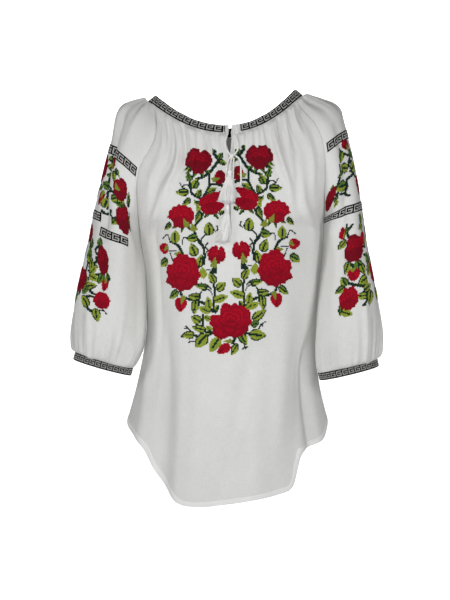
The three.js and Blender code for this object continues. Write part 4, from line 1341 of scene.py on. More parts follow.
def vine(chart, route, thick):
    """A smooth line through the route. It is one square wide and then thick squares wide, in
    turns, as a stem looks when it is charted on squares."""
    path = path_through([(x, y, 0.0) for x, y in route], 0.4)
    column = np.floor((path[:, 0] - chart["x"][0, 0]) / chart["pitch"] + 0.5).astype(int)
    row = np.floor((chart["y"][0, 0] - path[:, 1]) / chart["pitch"] + 0.5).astype(int)
    rows, columns = chart["thread"].shape
    for over in range(thick):
        for under in range(thick):
            r, c = np.clip(row + under, 0, rows - 1), np.clip(column + over, 0, columns - 1)
            chart["thread"][r, c] = THREADS.index("stem")


# %% Roses and buds
# The second palette is the same reds one step darker: painted shade, for roses and buds that lie in
# shade.
BRIGHT, IN_PAINTED_SHADE = 0, 1
ROSE_REDS = {BRIGHT: ("wine", "crimson", "scarlet"), IN_PAINTED_SHADE: ("deep_red", "deep_red", "crimson")}
BUD_REDS = {BRIGHT: ("crimson", "scarlet"), IN_PAINTED_SHADE: ("deep_red", "crimson")}
PETALS = ((0.8, 5, 0.4), (0.52, 4, 1.1), (0.26, 3, 0.2))  # each ring's size, petals and turn


def rose(chart, x, y, wide, high, bumps=(), tone=BRIGHT, turn=0.0):
    """A round flower. Its edge is an ellipse with fine scallops, and each bump (degrees, rise,
    spread) pushes it out or in. Inside, three rings of petals: a ring's edge dips between its
    petals, and it is shaded below and lit above."""
    dark, plain_red, lit = ROSE_REDS[tone]
    ahead, aside = seen_from(chart, x, y, turn)
    u, w = ahead / (wide / 2), aside / (high / 2)
    angle = np.arctan2(w, u)
    edge = 1 + 0.03 * np.cos(13 * angle + x)
    for at, rise, spread in bumps:
        away = np.abs((np.degrees(angle) - at + 180) % 360 - 180)
        edge = edge + rise * np.exp(-((away / spread) ** 2))
    depth = np.hypot(u, w) / edge
    inside = depth < 1
    fill(chart, inside, plain_red)
    fill(chart, inside & (depth > 0.8) & (w < -0.35), dark)
    line = chart["pitch"] / min(wide, high)
    for ring, petals, shift in PETALS:
        centre_w = w - 0.14 * (1 - ring)
        ring_angle = np.arctan2(centre_w, u)
        dip = 1 - 0.24 * (1 - np.abs(np.cos(petals * (ring_angle + shift) / 2)))
        away = ring * dip - np.hypot(u, centre_w)
        fill(chart, inside & (away > 0) & (away < 4.4 * line) & (centre_w > -0.1), lit)
        fill(chart, inside & (away > 0) & (away < 4.4 * line) & (centre_w < -0.3 * ring), dark)
        fill(chart, inside & (np.abs(away) < 0.9 * line), dark)


def bud(chart, x, y, wide, high, tip, sepal=None, tone=BRIGHT):
    """A closed rose: a drop shape with its tip at tip degrees, its folded petal as one dark
    line, and perhaps a sepal (x, y, length, width, tip) on it."""
    ahead, aside = seen_from(chart, x, y, tip)
    u, w = ahead / (high / 2), aside / (wide / 2)
    edge = np.sqrt(clamp01(1 - u * u)) * (1 - 0.28 * u)
    inside = (np.abs(u) < 1) & (np.abs(w) < np.maximum(edge, 0.08))
    plain_red, lit = BUD_REDS[tone]
    fill(chart, inside, plain_red)
    fill(chart, inside & (w > 0.1) & (u > -0.2), lit)
    folded = np.abs(w - 0.25 * u) < 1.1 * chart["pitch"] / wide
    fill(chart, inside & folded & (u > -0.4), "deep_red")
    if sepal:
        leaf(chart, *sepal, "sepal")


# %% Order of work
def work(chart, vines, leaves, flowers):
    """Everything on one chart: vines (squares wide, route) first, then leaves, then the rows
    that lie on them, each a motif and what it needs."""
    for thick, route in vines:
        vine(chart, route, thick)
    for row in leaves:
        leaf(chart, *row)
    for motif, *row in flowers:
        motif(chart, *row)


# %% [markdown]
# ## The front's garland
# The garland is the same on both sides of the slit, turned over left to right. The side at the
# wearer's left lies 7 mm higher and 3.5 mm nearer the middle. Down each side run five roses on
# a dark vine, with buds and leaves between them; one large rose closes it below the slit.

# %% Front chart
front_chart = blank_chart(126, -103, -446)
RIGHT_VINES = [  # on the wearer's right: how many squares wide, and the route
    (2, [(-27.5, -115), (-20, -126), (-26.5, -137.5), (-34.6, -146.4), (-46, -153.6), (-56, -157)]),
    (2, [(-20, -126), (-15, -131)]), (1, [(-80.6, -164), (-77, -170), (-71.7, -166.3), (-65, -169.5)]),
    (2, [(-64.8, -160), (-64.8, -168.6), (-63.6, -177.6), (-55.7, -184.2), (-46.7, -189)]),
    (2, [(-46.7, -189), (-40, -179.9), (-34.3, -167.5), (-34, -148)]),
    (2, [(-33, -166.3), (-23, -164.5), (-13, -168)]),
    (2, [(-44, -212), (-49, -221.6), (-56, -229), (-58, -241), (-55, -252), (-49, -258)]),
    (1, [(-49, -258), (-40, -247), (-36, -247)]), (1, [(-21.7, -232.6), (-19.3, -238.4), (-24, -242)]),
    (1, [(-116, -251), (-106, -245.5), (-100, -255.6)]),
    (2, [(-100, -255.6), (-90, -260), (-82, -268), (-78, -278)]), (1, [(-103, -271), (-88, -271)]),
    (1, [(-100, -275), (-95, -287)]), (1, [(-78, -262), (-76, -252), (-66, -250)]),
    (2, [(-51, -257.4), (-44, -266.5), (-42, -278), (-42.7, -293)]),
    (1, [(-36, -260), (-40, -266), (-36, -272), (-39, -277)]), (1, [(-32, -304), (-37, -303)]),
    (2, [(-28, -302), (-32, -310), (-27, -327), (-25.5, -337), (-26.6, -350), (-27.4, -368)]),
    (1, [(-48.5, -341), (-44.6, -337), (-33, -336), (-28.5, -343.4)]),
    (2, [(-82.5, -337), (-78, -345), (-66.5, -350), (-48.5, -354), (-38, -360), (-28, -370)]),
    (1, [(-36, -328), (-30, -334)]),
]
print(len(RIGHT_VINES), "vines on the wearer's right")

# %% Leaves of the front chart
RIGHT_LEAVES = [  # x, y, length, width, tip, kind
    (-15, -120, 13, 11, 60, "dark"), (-11, -131.5, 14, 9, -25, "turned"),
    (-25, -113, 9, 6, 120, "dark"), (-68, -140, 15, 8, 200, "turned"),
    (-66, -154.5, 16, 11, 115, "dark"), (-55.8, -165, 18, 14, 65, "turned"),
    (-77, -178.5, 22, 13, 180, "edged"), (-50, -180, 15, 10, 70, "turned"),
    (-30, -176.5, 19, 11, 28, "turned"), (-70, -194, 17, 10, 215, "turned"),
    (-53, -196, 14, 9, 140, "turned"), (-51, -205, 12, 7, 100, "veined"),
    (-51.5, -218, 20, 9, 245, "turned"), (-60, -234, 15, 12, 110, "sepal"),
    (-104, -231, 19, 9, 212, "turned"), (-13, -211, 12, 8, 35, "turned"),
    (-34, -237, 22, 17, 95, "edged"), (-90.5, -248.5, 21, 17, 92, "veined"),
    (-62, -252, 19, 14, 188, "turned"), (-59.5, -271, 22, 16, 112, "edged"),
    (-48.5, -289, 23, 13, 75, "edged"), (-44, -308, 19, 13, 95, "plain"),
    (-117, -291, 25, 15, 202, "turned"), (-87, -277, 13, 9, 180, "sepal"),
    (-28.5, -316.5, 21, 13, 118, "edged"), (-14.5, -330, 19, 15, 42, "edged"),
    (-15, -349.5, 25, 13, 20, "veined"), (-47, -329.5, 23, 11, 170, "turned"),
    (-94, -343, 22, 13, 213, "turned"), (-57.5, -346, 22, 12, 178, "edged"),
    (-57, -363, 24, 14, 263, "edged"), (-41, -367.5, 21, 12, 160, "veined"),
    (-66, -145, 15, 6, 215, "dark"), (-57, -150, 15, 6, 240, "dark"),
    (-45, -150, 14, 6, 295, "dark"), (-36, -146, 13, 6, 325, "dark"),
    (-89, -231, 17, 6, 205, "dark"), (-78, -237, 15, 5, 250, "dark"),
    (-67, -234, 14, 6, 290, "dark"), (-37, -215, 15, 6, 225, "dark"),
    (-22, -217, 15, 6, 310, "dark"), (-34.5, -356, 21, 11, 100, "veined"),
    (-22, -366, 16, 8, 65, "turned"),
]
print(len(RIGHT_LEAVES), "leaves there")

# %% Flowers of the front chart
RIGHT_FLOWERS = [
    (vine, [(-27, -298), (-27, -303)], 4),
    (rose, -51, -128.5, 45, 41, [(78, -0.28, 8), (223, -0.26, 18), (318, -0.08, 22)], IN_PAINTED_SHADE),
    (rose, -30, -196, 39, 37, [
        (50, 0.3, 12), (20, -0.55, 14), (-19, 0.14, 11),
        (237, 0.1, 16), (130, -0.2, 20), (95, -0.2, 16),
    ]),
    (rose, -79, -216.5, 43, 36, [(209, -0.25, 14), (183, 0.1, 6), (25, 0.03, 20)]),
    (rose, -79, -307, 62, 61, [
        (136, -0.26, 16), (189, -0.12, 8), (205, 0.14, 9), (14, -0.12, 10),
        (112, -0.07, 9), (64, -0.08, 11), (246, -0.07, 13),
    ]),
    (rose, -21.5, -279.5, 30, 31, [
        (74, -0.5, 8), (60, 0.1, 10), (240, -0.08, 14), (300, -0.12, 16),
    ]),
    (leaf, -72, -226.5, 16, 10, 118, "sepal"),
    (leaf, -25, -291.5, 17, 12, 80, "sepal"),
    (bud, -15.5, -154, 19, 23, 95, (-22, -158, 14, 9, 12), IN_PAINTED_SHADE),
    (bud, -115, -267, 17, 23, 170, (-110, -268, 14, 8, 215)),
    (bud, -81, -359, 21, 23, 262, (-78, -352, 15, 9, 250)),
]
work(front_chart, RIGHT_VINES, RIGHT_LEAVES, RIGHT_FLOWERS)
front_chart = mirrored(front_chart, rows_up=4, columns_back=2)
print("front stitches down the sides", int((front_chart["thread"] > 0).sum()))

# %% Foot of the front chart
LOW_VINES = [
    (2, [(-44.6, -375.5), (-44.6, -396)]),
    (2, [(-79, -409.5), (-59, -407.6), (-51, -410.8), (-38, -408.8), (-28, -403.7)]),
    (1, [(-72, -394), (-65, -401), (-61, -404)]), (1, [(-74, -398), (-68, -397)]),
    (1, [(-67.5, -420), (-57.5, -418)]), (2, [(3, -421), (7.3, -413)]), (2, [(24, -403.5), (34, -407)]),
    (1, [(46, -399), (52, -391), (58, -387)]), (1, [(50, -390), (54, -394)]),
    (1, [(24, -424), (25, -431)]), (1, [(20, -431), (28, -428)]),
]
LOW_LEAVES = [
    (-55, -383, 19, 15, 150, "edged"), (-50, -398, 25, 13, 165, "edged"),
    (-37, -381, 13, 10, 150, "veined"), (-34, -398, 12, 9, 130, "veined"),
    (-68, -408.5, 21, 14, 182, "edged"), (-35, -405, 14, 7, 190, "turned"),
    (-47, -418.5, 27, 20, 227, "edged"), (-25, -424.5, 28, 17, 237, "veined"),
    (7, -432, 22, 12, 243, "edged"), (21.5, -415, 22, 15, 300, "turned"),
    (45.5, -408.5, 28, 19, -4, "edged"), (40.6, -390.5, 15, 12, 20, "dark"),
    (47.8, -376, 28, 15, 35, "edged"), (32, -362, 16, 10, 40, "veined"),
]
LOW_FLOWERS = [
    (rose, 0.6, -385.5, 67, 58, [
        (140, -0.4, 16), (88, -0.12, 6), (54, -0.04, 5), (38, 0.1, 14),
        (270, -0.17, 9), (235, 0.16, 18), (-22, -0.06, 8), (200, -0.05, 6),
    ]),
    (bud, -10, -431, 15, 24, 215, (-4.5, -418.5, 15, 7, 180)),
]
work(front_chart, LOW_VINES, LOW_LEAVES, LOW_FLOWERS)
print("front stitches", int((front_chart["thread"] > 0).sum()))

# %% [markdown]
# ## The sleeves' roses
# On a sleeve x is measured along the cloth from the crest, and y down the crest from the neck
# band. The flowers are worked on both sides of the crest alike, so each half is drawn once
# and turned over. A meander band crosses above them, and a second one between them.

# %% Left sleeve chart
SLEEVE_CHART = (150, -116, -432)  # half width, top and bottom
left_chart = blank_chart(*SLEEVE_CHART)
LEFT_VINES = [
    (2, [(-64, -138), (-66, -150), (-73, -160), (-66, -175), (-60, -184), (-50, -188)]),
    (2, [(-86, -131), (-78, -141), (-64, -149)]), (2, [(-73, -160), (-62, -157)]),
    (2, [(-98, -156), (-98, -172), (-106, -188)]),
    (2, [(-72, -172), (-66, -178), (-80, -185), (-82, -196), (-88, -206), (-82, -212)]),
    (2, [(-88, -206), (-100, -203)]), (2, [(-106, -190), (-104, -197), (-108, -202)]),
    (2, [(-57, -248), (-56, -280)]), (2, [(-88, -258), (-86, -278), (-80, -284)]),
    (2, [(-84, -268), (-80, -262)]),
    (2, [(-75, -326), (-66, -350), (-62, -365), (-66, -380), (-60, -396)]),
    (2, [(-80, -330), (-82, -340)]), (2, [(-60, -318), (-54, -322), (-56, -330)]),
    (2, [(-30, -262), (-38, -290), (-36, -330), (-30, -372)]),
    (2, [(-66, -372), (-82, -364), (-92, -358)]), (2, [(-74, -384), (-66, -392), (-72, -400)]),
]
LEFT_LEAVES = [
    (-87, -146, 22, 17, 235, "turned"), (-56, -147, 20, 16, 300, "dark"),
    (-84, -165, 20, 18, 160, "edged"), (-59, -168, 21, 20, 20, "edged"),
    (-95, -172, 18, 9, 200, "dark"), (-95, -192, 26, 20, 175, "turned"),
    (-113, -187, 11, 8, 60, "dark"), (-108, -209, 14, 8, 255, "dark"),
    (-58, -256, 18, 15, 130, "dark"), (-60, -270, 18, 14, 210, "edged"),
    (-91, -270, 17, 12, 200, "dark"), (-30, -254, 22, 15, 95, "edged"),
    (-24, -280, 24, 15, 60, "edged"), (-96, -290, 20, 14, 230, "edged"),
    (-90, -333, 22, 15, 245, "edged"), (-72, -333, 20, 15, 100, "dark"),
    (-50, -326, 22, 14, 100, "dark"), (-66, -343, 22, 14, 285, "edged"),
    (-50, -345, 24, 15, 250, "edged"), (-98, -354, 20, 16, 120, "turned"),
    (-106, -366, 21, 13, 205, "turned"), (-107, -400, 21, 13, 250, "dark"),
    (-98, -408, 22, 13, 330, "veined"), (-67, -361, 20, 18, 200, "edged"),
    (-60, -374, 22, 16, 20, "edged"), (-73, -386, 17, 14, 170, "edged"),
    (-56, -392, 26, 19, 250, "edged"), (-26, -388, 24, 16, 280, "edged"),
    (-14, -330, 22, 15, 80, "edged"),
]
LEFT_FLOWERS = [
    (bud, -66, -126, 21, 22, 90, (-64, -133, 12, 8, 90), IN_PAINTED_SHADE),
    (rose, -121, -204, 18, 44, [(250, 0.15, 15)], IN_PAINTED_SHADE, -39),
    (leaf, -108, -216, 12, 7, 235, "veined"),
    (rose, -42, -199, 36, 36, [(80, -0.2, 9), (200, -0.12, 14), (320, -0.15, 14)], IN_PAINTED_SHADE),
    (bud, -97, -270, 12, 22, 95, (-94, -273, 12, 5, 90)),
    (rose, -76, -304, 33, 46, [
        (150, -0.16, 15), (60, -0.1, 12), (205, 0.1, 10), (100, 0.08, 10),
    ], IN_PAINTED_SHADE),
    (leaf, -54, -303, 12, 9, 70, "dark"),
    (bud, -56, -290, 20, 23, 80, (-52, -293, 14, 8, 100)),
    (bud, -81, -348, 18, 21, 268, (-81, -340, 8, 8, 270)),
    (rose, -30, -350, 36, 38, [(70, -0.22, 9), (190, -0.12, 12)]),
    (rose, -94, -384, 32, 39, [
        (130, -0.16, 14), (55, 0.1, 12), (80, -0.16, 8), (215, 0.1, 12),
    ]),
]
work(left_chart, LEFT_VINES, LEFT_LEAVES, LEFT_FLOWERS)
left_chart = mirrored(left_chart)

# %% Right sleeve chart
right_chart = blank_chart(*SLEEVE_CHART)
RIGHT_SLEEVE_VINES = [
    (2, [(54, -134), (51, -146), (56, -158), (53, -172)]),
    (2, [(62, -140), (58, -160), (64, -172), (72, -176), (84, -176)]),
    (2, [(58, -176), (66, -184), (64, -200)]), (2, [(57, -189), (70, -186), (86, -180), (94, -178)]),
    (2, [(57, -189), (60, -202)]), (2, [(64, -200), (66, -216)]),
    (2, [(58, -222), (66, -226), (72, -223)]), (2, [(88, -212), (86, -218), (92, -222), (98, -219)]),
    (2, [(62, -284), (56, -292), (60, -298), (65, -295)]),
    (2, [(60, -304), (64, -310), (58, -316), (66, -320)]),
    (2, [(50, -330), (62, -335), (74, -330), (84, -336)]), (2, [(52, -352), (66, -364), (80, -366)]),
    (2, [(54, -375), (66, -371), (76, -371)]), (2, [(62, -390), (72, -396)]),
    (2, [(30, -262), (38, -290), (44, -320), (40, -372)]), (1, [(84, -391), (92, -389), (97, -394)]),
]
RIGHT_SLEEVE_LEAVES = [
    (49, -134, 12, 7, 85, "dark"), (54, -147, 15, 12, 60, "edged"), (56, -162, 15, 11, 200, "dark"),
    (68, -150, 14, 12, 280, "edged"), (88, -156, 17, 12, 290, "edged"),
    (93, -147, 14, 7, 310, "dark"), (52, -180, 17, 14, 160, "dark"),
    (39, -187, 16, 12, 200, "dark"), (68, -172, 18, 13, 60, "dark"),
    (61, -208, 18, 17, 100, "edged"), (93, -190, 15, 13, 225, "turned"),
    (106, -190, 14, 12, 280, "veined"), (119, -178, 26, 8, 95, "dark"),
    (126, -214, 34, 6, 95, "dark"), (94, -229, 16, 11, 240, "turned"),
    (64, -277, 17, 12, 95, "dark"), (44, -284, 18, 10, 100, "dark"),
    (43, -302, 24, 13, 100, "dark"), (49, -313, 18, 12, 130, "edged"),
    (56, -324, 24, 13, 285, "edged"), (61, -327, 18, 11, 60, "veined"),
    (65, -340, 22, 13, 350, "veined"), (62, -355, 23, 15, 20, "edged"),
    (77, -337, 22, 13, 255, "dark"), (89, -331, 16, 8, 110, "dark"),
    (52, -347, 12, 9, 250, "edged"), (52, -364, 18, 15, 250, "dark"),
    (57, -382, 24, 18, 140, "edged"), (80, -400, 22, 16, 285, "edged"),
    (31, -380, 24, 12, 260, "dark"), (20, -300, 24, 14, 80, "edged"),
    (24, -196, 20, 14, 60, "edged"),
]
RIGHT_SLEEVE_FLOWERS = [
    (bud, 78, -134, 12, 26, 100, (76, -138, 16, 7, 100), IN_PAINTED_SHADE),
    (rose, 31, -154, 33, 51, [(80, -0.15, 9), (200, -0.1, 14)], IN_PAINTED_SHADE),
    (rose, 102, -169, 25, 37, [(120, -0.2, 20), (60, 0.05, 15)], IN_PAINTED_SHADE),
    (leaf, 95, -168, 13, 8, 120, "sepal"),
    (rose, 111, -216, 27, 54, [(120, -0.1, 20), (280, 0.06, 20)], IN_PAINTED_SHADE),
    (leaf, 103, -194, 20, 8, 190, "dark"),
    (bud, 50, -203, 10, 26, 265, (51, -198, 16, 6, 265), IN_PAINTED_SHADE),
    (rose, 26, -268, 30, 36, [(80, -0.2, 9)], IN_PAINTED_SHADE),
    (rose, 75, -305, 21, 50, [(60, -0.12, 15), (250, 0.05, 15)], IN_PAINTED_SHADE, 16),
    (bud, 87, -346, 12, 22, 268, (87, -339, 12, 6, 270)),
    (rose, 34, -349, 35, 43, [(75, -0.2, 9), (200, -0.1, 12)], IN_PAINTED_SHADE),
    (rose, 86, -373, 29, 29, [
        (170, -0.08, 12), (320, 0.14, 8), (100, -0.06, 10), (45, -0.06, 10),
    ]),
]
work(right_chart, RIGHT_SLEEVE_VINES, RIGHT_SLEEVE_LEAVES, RIGHT_SLEEVE_FLOWERS)
right_chart = mirrored(right_chart)
print("sleeve stitches", int((left_chart["thread"] > 0).sum()), int((right_chart["thread"] > 0).sum()))

# %% [markdown]
# ## The meander
# The meander (Greek key) is an old border of one unbroken line. One unit is charted,
# seven rows by six columns, and repeated. The neck band wears it upside down.

# %% Meander
MEANDER = ("000000", "011111", "010000", "010111", "010001", "011111", "000000")


def meander_chart(start, end, pitch, shown="pale", upside_down=False):
    """The strip from x start to end, round height nought, with a plain column at its end. The
    pitch along it is stretched a little so that whole squares fill it."""
    columns = int(round((end - start) / pitch))
    one = np.array([[int(c) for c in row] for row in MEANDER[:: -1 if upside_down else 1]])
    rows, repeat = one.shape
    strip = np.tile(one, (1, columns // repeat + 1))[:, :columns]
    strip[:, -1] = 0
    x = start + (np.arange(columns) + 0.5) * (end - start) / columns
    x_grid, y_grid = np.meshgrid(x, (rows // 2 - np.arange(rows)) * pitch)
    return {"x": x_grid, "y": y_grid, "pitch": pitch, "thread": strip * THREADS.index(shown)}


def ground_of(chart):
    """The same squares all in black, to lie under the pale thread."""
    return {**chart, "thread": np.full(chart["thread"].shape, THREADS.index("black"))}


# %% [markdown]
# ## From chart to thread
# Each stitch becomes a small cushion: nine points, lowest halfway along its sides and highest
# in the middle, so that its ridges run corner to corner like the two arms of a cross. A
# cushion has fourteen faces. A stitch with real crossing strands would have ten times as
# many, and at this size it would look the same.

# %% Stitch meshes
CUSHION = np.array([(-1, -1), (0, -1), (1, -1), (1, 0), (1, 1), (0, 1), (-1, 1), (-1, 0), (0, 0)])
CUSHION_LIFT = np.array([0.38, 0.2, 0.38, 0.2, 0.38, 0.2, 0.38, 0.2, 0.78])
CUSHION_TOP = [(8, k, (k + 1) % 8) for k in range(8)]
CUSHION_FACES = np.array(CUSHION_TOP + [(0, k + 1, k) for k in range(1, 7)])
HALF_STITCH = 0.525  # of the pitch, so neighbouring stitches touch
HALF_RAISED = 0.44  # a stitch of the meander's pale line, on its black ground
RAISED = 0.5  # how far the pale line stands on the ground
FAMILIES = {  # what a piece of needlework is called, its slot and its threads
    "roses": ("red_thread", REDS),
    "leaves": ("green_thread", ("leaf", "moss", "sepal")),
    "stems": ("dark_thread", ("stem",)),
    "meander": ("dark_thread", ("black", "pale", "ash")),
}


def stitches(name, family, charts, seed):
    """One mesh for all stitches of a family. Each chart comes with its place(x, y, lift),
    which puts a place on it, and a height above the cloth, into space, with the height and
    the half width of its stitches. No two stitches stand quite equally high."""
    slot, threads = FAMILIES[family]
    rng = np.random.default_rng(seed)
    parts, picks = [], []
    for chart, place, above, half in charts:
        for number, thread in enumerate(threads):
            rows, columns = np.nonzero(chart["thread"] == THREADS.index(thread))
            size = chart["pitch"] * (half - 0.02 * rng.random((len(rows), 1)))
            x = chart["x"][rows, columns][:, None] + CUSHION[:, 0] * size
            y = chart["y"][rows, columns][:, None] + CUSHION[:, 1] * size
            lift = above + CUSHION_LIFT * rng.uniform(0.85, 1.15, (len(rows), 1))
            parts.append(place(x, y, lift).reshape(-1, len(CUSHION), 3))
            picks.append(np.full(len(rows) * len(CUSHION_FACES), number))
    points = np.concatenate(parts)
    first = (np.arange(len(points)) * len(CUSHION))[:, None, None]
    faces = (CUSHION_FACES[None] + first).reshape(-1, 3)
    points, picks = points.reshape(-1, 3), np.concatenate(picks)
    materials = [FLOSS[thread] for thread in threads]
    return make_piece(name, points, faces, materials, pick=picks, facets=True)


# %% Places on the cloth
GRID = 2.0  # the lookup tables' spacing in millimetres
AT_SEAM = 0.985  # no stitch is nearer the seam than this t


def cloth_grid(name, columns=241, rows=401):
    """The piece's t, v and points without folds, on one fine grid."""
    t, v = np.meshgrid(np.linspace(-1, 1, columns), np.linspace(0, 2, rows))
    return t, v, plain(name, t, v)


def along_row(points):
    """Length of cloth along each row, nought at its middle."""
    run = run_along(points)
    return run - run[:, [run.shape[1] // 2]]


def between(table, row, column):
    """A value between the four nearest entries of a table."""
    r = np.clip(np.floor(row).astype(int), 0, table.shape[0] - 2)
    c = np.clip(np.floor(column).astype(int), 0, table.shape[1] - 2)
    up, over = row - r, column - c
    first = mix(table[r, c], table[r, c + 1], over)
    second = mix(table[r + 1, c], table[r + 1, c + 1], over)
    return mix(first, second, up)


def front_place(top=-96.0, bottom=-460.0, half_width=140.0):
    """On the front, y is the height itself and x the length of cloth along one height."""
    t, v, points = cloth_grid("front")
    heights = np.arange(top, bottom, -GRID)
    columns = zip(points[..., 2].T, v.T)
    v_at = np.stack([np.interp(-heights, -z, v_down) for z, v_down in columns], axis=1)
    t_at = np.broadcast_to(t[0], v_at.shape)
    run = along_row(plain("front", t_at, v_at))
    x = np.arange(-half_width, half_width + 0.1, GRID)
    t_table = np.stack([np.interp(x, row, t_row) for row, t_row in zip(run, t_at)])
    v_table = np.stack([np.interp(x, row, v_row) for row, v_row in zip(run, v_at)])

    def place(x_mm, y_mm, lift):
        row, column = (heights[0] - y_mm) / GRID, (x_mm - x[0]) / GRID
        t_here, v_here = between(t_table, row, column), between(v_table, row, column)
        return cloth_surface("front", t_here, v_here, lift)

    return place


# %% Places on a sleeve
def sleeve_place(name, half_width=200.0):
    """On a sleeve, y is minus the length down the crest and x the length round from it."""
    t, v, points = cloth_grid(name)
    down = run_along(points[:, points.shape[1] // 2])
    v_rows = np.interp(np.arange(0.0, down[-1], GRID), down, v[:, 0])
    run = along_row(plain(name, t[0], v_rows[:, None]))
    x = np.arange(-half_width, half_width + 0.1, GRID)
    t_table = np.stack([np.interp(x, row, t[0]) for row in run])

    def place(x_mm, y_mm, lift):
        row = -y_mm / GRID
        t_here = np.clip(between(t_table, row, (x_mm - x[0]) / GRID), -AT_SEAM, AT_SEAM)
        return cloth_surface(name, t_here, np.interp(-y_mm, down, v[:, 0]), lift)

    return place


# %% Roses, leaves and stems in thread
places = {name: sleeve_place(name) for name in ("left_sleeve", "right_sleeve")}
places["front"] = front_place()
charts = {"front": front_chart, "left_sleeve": left_chart, "right_sleeve": right_chart}
needlework = {name: [] for name in charts}
for seed, (name, chart) in enumerate(charts.items()):
    for family in ("roses", "leaves", "stems"):
        worked = [(chart, places[name], 0.0, HALF_STITCH)]
        piece = stitches(f"{name}_{family}", family, worked, seed)
        needlework[name].append(piece)
        print(piece.name, len(piece.data.polygons), "faces")

# %% Meander on the sleeves
SLEEVE_MEANDER = 2.2
MEANDER_BANDS = {  # start, end, and how far down the sleeve as v
    "left_sleeve": [(-113, 113, 0.697), (-158, 158, 0.978)],
    "right_sleeve": [(-126, 126, 0.755), (-164, 61, 1.0), (61, 116, 1.082)],
}


def across_sleeve(name, v_middle, reach=0.14, half_strip=12.0):
    """A strip's place on a sleeve: x round from the crest, y up the cloth from v_middle. Both
    are true lengths, so that the strip is equally wide all the way."""
    rounds, downs = 161, 113
    t, v = np.linspace(-1, 1, rounds), np.linspace(v_middle - reach, v_middle + reach, downs)
    points = plain(name, t[:, None], v[None, :])
    y = np.arange(-half_strip, half_strip + 0.1, 1.0)
    v_table = np.stack([np.interp(-y, row, v) for row in along_row(points)])
    x_run = along_row(points[None, :, downs // 2])[0]

    def place(x_mm, y_mm, lift):
        t_here = np.interp(x_mm, x_run, t)
        v_here = between(v_table, (t_here + 1) * (rounds // 2), y_mm + half_strip)
        return cloth_surface(name, np.clip(t_here, -0.99, 0.99), v_here, lift)

    return place


for name, bands in MEANDER_BANDS.items():
    strips = []
    for start, end, v_middle in bands:
        chart, place = meander_chart(start, end, SLEEVE_MEANDER), across_sleeve(name, v_middle)
        strips.append((ground_of(chart), place, 0.0, HALF_STITCH))
        strips.append((chart, place, RAISED, HALF_RAISED))
    piece = stitches(f"{name}_meander", "meander", strips, 5)
    needlework[name].append(piece)
    print(piece.name, len(piece.data.polygons), "faces")


# %% Meander on the ribbons
def round_ribbon(place, angle, height, base):
    """x along the ribbon, y up from its middle; base is the height of the ribbon's face."""
    run = run_along(place(angle, 0 * angle + height / 2, 0 * angle))

    def put(x_mm, y_mm, lift):
        return place(np.interp(x_mm, run, angle), height / 2 - y_mm, base + lift)

    return put, run[-1]


RIBBON_FACE = 0.5  # the height at which stitches sink into the ribbon
BAND_MARGIN, CUFF_MARGIN = 1.0, 0.5  # plain ribbon at the strip's ends
CUFF_MIDDLE = 5.6  # the strip's middle below the end of the sleeve, so both margins look alike
HALF_ON_CUFF = 0.46
band_angles = np.linspace(BAND_FROM, BAND_TO, 400)
put, length = round_ribbon(band_place, band_angles, BAND_HEIGHT, RIBBON_FACE)
pitch = BAND_HEIGHT / len(MEANDER)
strip = meander_chart(BAND_MARGIN, length - BAND_MARGIN, pitch, upside_down=True)
piece = stitches("neck_band_meander", "meander", [(strip, put, 0.0, HALF_RAISED)], 7)
print(piece.name, len(piece.data.polygons), "faces")
for side, place in CUFF_PLACES.items():
    angles = np.linspace(0, 2 * np.pi, 300)
    put, length = round_ribbon(place, angles, 2 * CUFF_MIDDLE, RIBBON_FACE)
    pitch = CUFF_HEIGHT / len(MEANDER)
    strip = meander_chart(CUFF_MARGIN, length - CUFF_MARGIN, pitch, shown="ash")
    piece = stitches(f"{side}_cuff_meander", "meander", [(strip, put, 0.0, HALF_ON_CUFF)], 8)
    print(piece.name, len(piece.data.polygons), "faces")

# %% [markdown]
# ## What each sheet is cut from
# The frame keeps the blouse as it hangs. Each piece of cloth is listed with the rectangle it
# is cut from, in whole centimetres, which is printed beside its area as it hangs. The cut is
# larger than the cloth as it hangs, because hems, seams and the finest gathers take some up.

# %% Sheets
CUT = {  # width and length in metres, estimated from the cloth as it hangs
    "front": (0.62, 0.68),
    "back": (0.62, 0.68),
    "left_sleeve": (0.50, 0.54),
    "right_sleeve": (0.52, 0.52),
}
for name, piece in cloth.items():
    area = area_of(piece)
    print(name, "cut", CUT[name], "area as it hangs", round(area, 3))

# %% [markdown]
# ## Light and floor
# White cloth is lit softly, so that only the folds and the sides that turn away darken. The key
# light stands close in front at chest height, with a soft box on each side, and a fourth light
# washes the pale wall behind. The lights themselves are hidden from the camera. The standard
# view transform keeps the whites white.

# %% Floor
FLOOR_DROP = 0.6  # below the blouse's lowest point
low, high = cad_box


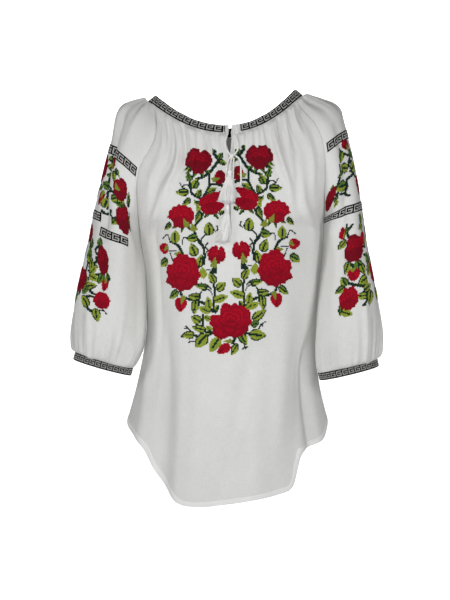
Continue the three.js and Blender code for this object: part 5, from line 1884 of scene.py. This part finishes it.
def cove(front, back, half_width, floor_z, top_z, bend=0.5):
    """A floor that turns up into a wall by a quarter circle, in metres."""
    turn = np.linspace(0, np.pi / 2, 13)
    x = np.array([-half_width, half_width])
    y = np.concatenate([[front], back - bend + bend * np.sin(turn), [back]])[:, None]
    z = np.concatenate([[floor_z], floor_z + bend - bend * np.cos(turn), [top_z]])[:, None]
    points = np.stack(np.broadcast_arrays(x, y, z), axis=-1).reshape(-1, 3)
    faces = grid_faces(len(y), len(x))[:, ::-1]
    mesh = bpy.data.meshes.new("pale_cove")
    mesh.from_pydata(points.tolist(), [], faces.tolist())
    mesh.polygons.foreach_set("use_smooth", np.ones(len(faces), dtype=bool))
    made = bpy.data.objects.new("pale_cove", mesh)
    bpy.context.scene.collection.objects.link(made)
    return made


floor = cove(front=-5.0, back=4.2, half_width=7.0, floor_z=low[2] - FLOOR_DROP, top_z=5.0)
# Uncoated paper: matt, so nothing is mirrored in it.
paper, tree, shader = new_material("pale_studio_paper")
shader.inputs["Base Color"].default_value = linear("#FAFAFA")
set_surface(shader, roughness=0.9, specular=0.1)
floor.data.materials.append(paper)

# %% Lights
scene = bpy.context.scene
scene.world = bpy.data.worlds.new("studio")
scene.world.use_nodes = True
sky = scene.world.node_tree.nodes["Background"]
sky.inputs["Color"].default_value = linear("#FFFFFF")
sky.inputs["Strength"].default_value = 0.08


def soft_light(name, place, aim, size, power):
    """A square area light turned to face its aim."""
    data = bpy.data.lights.new(name, "AREA")
    data.size = size
    data.energy = power
    made = bpy.data.objects.new(name, data)
    made.location = place
    made.rotation_euler = (Vector(aim) - Vector(place)).to_track_quat("-Z", "Y").to_euler()
    made.visible_camera = False
    scene.collection.objects.link(made)
    return made


CHEST = (0.0, -0.1, -0.33)
soft_light("key", (-0.08, -1.5, -0.2), CHEST, 0.5, 9.4)
soft_light("left_box", (-1.5, -1.35, 0.15), CHEST, 0.6, 8.8)
soft_light("right_box", (1.5, -1.35, 0.15), CHEST, 0.6, 8.8)
soft_light("wall_wash", (0.0, 2.4, 1.6), (0.0, 4.2, -0.4), 2.4, 150)
scene.view_settings.view_transform = "Standard"
scene.view_settings.look = "None"

# %% Sizes
print("CAD box", [round(v, 4) for v in (*low, *high)])
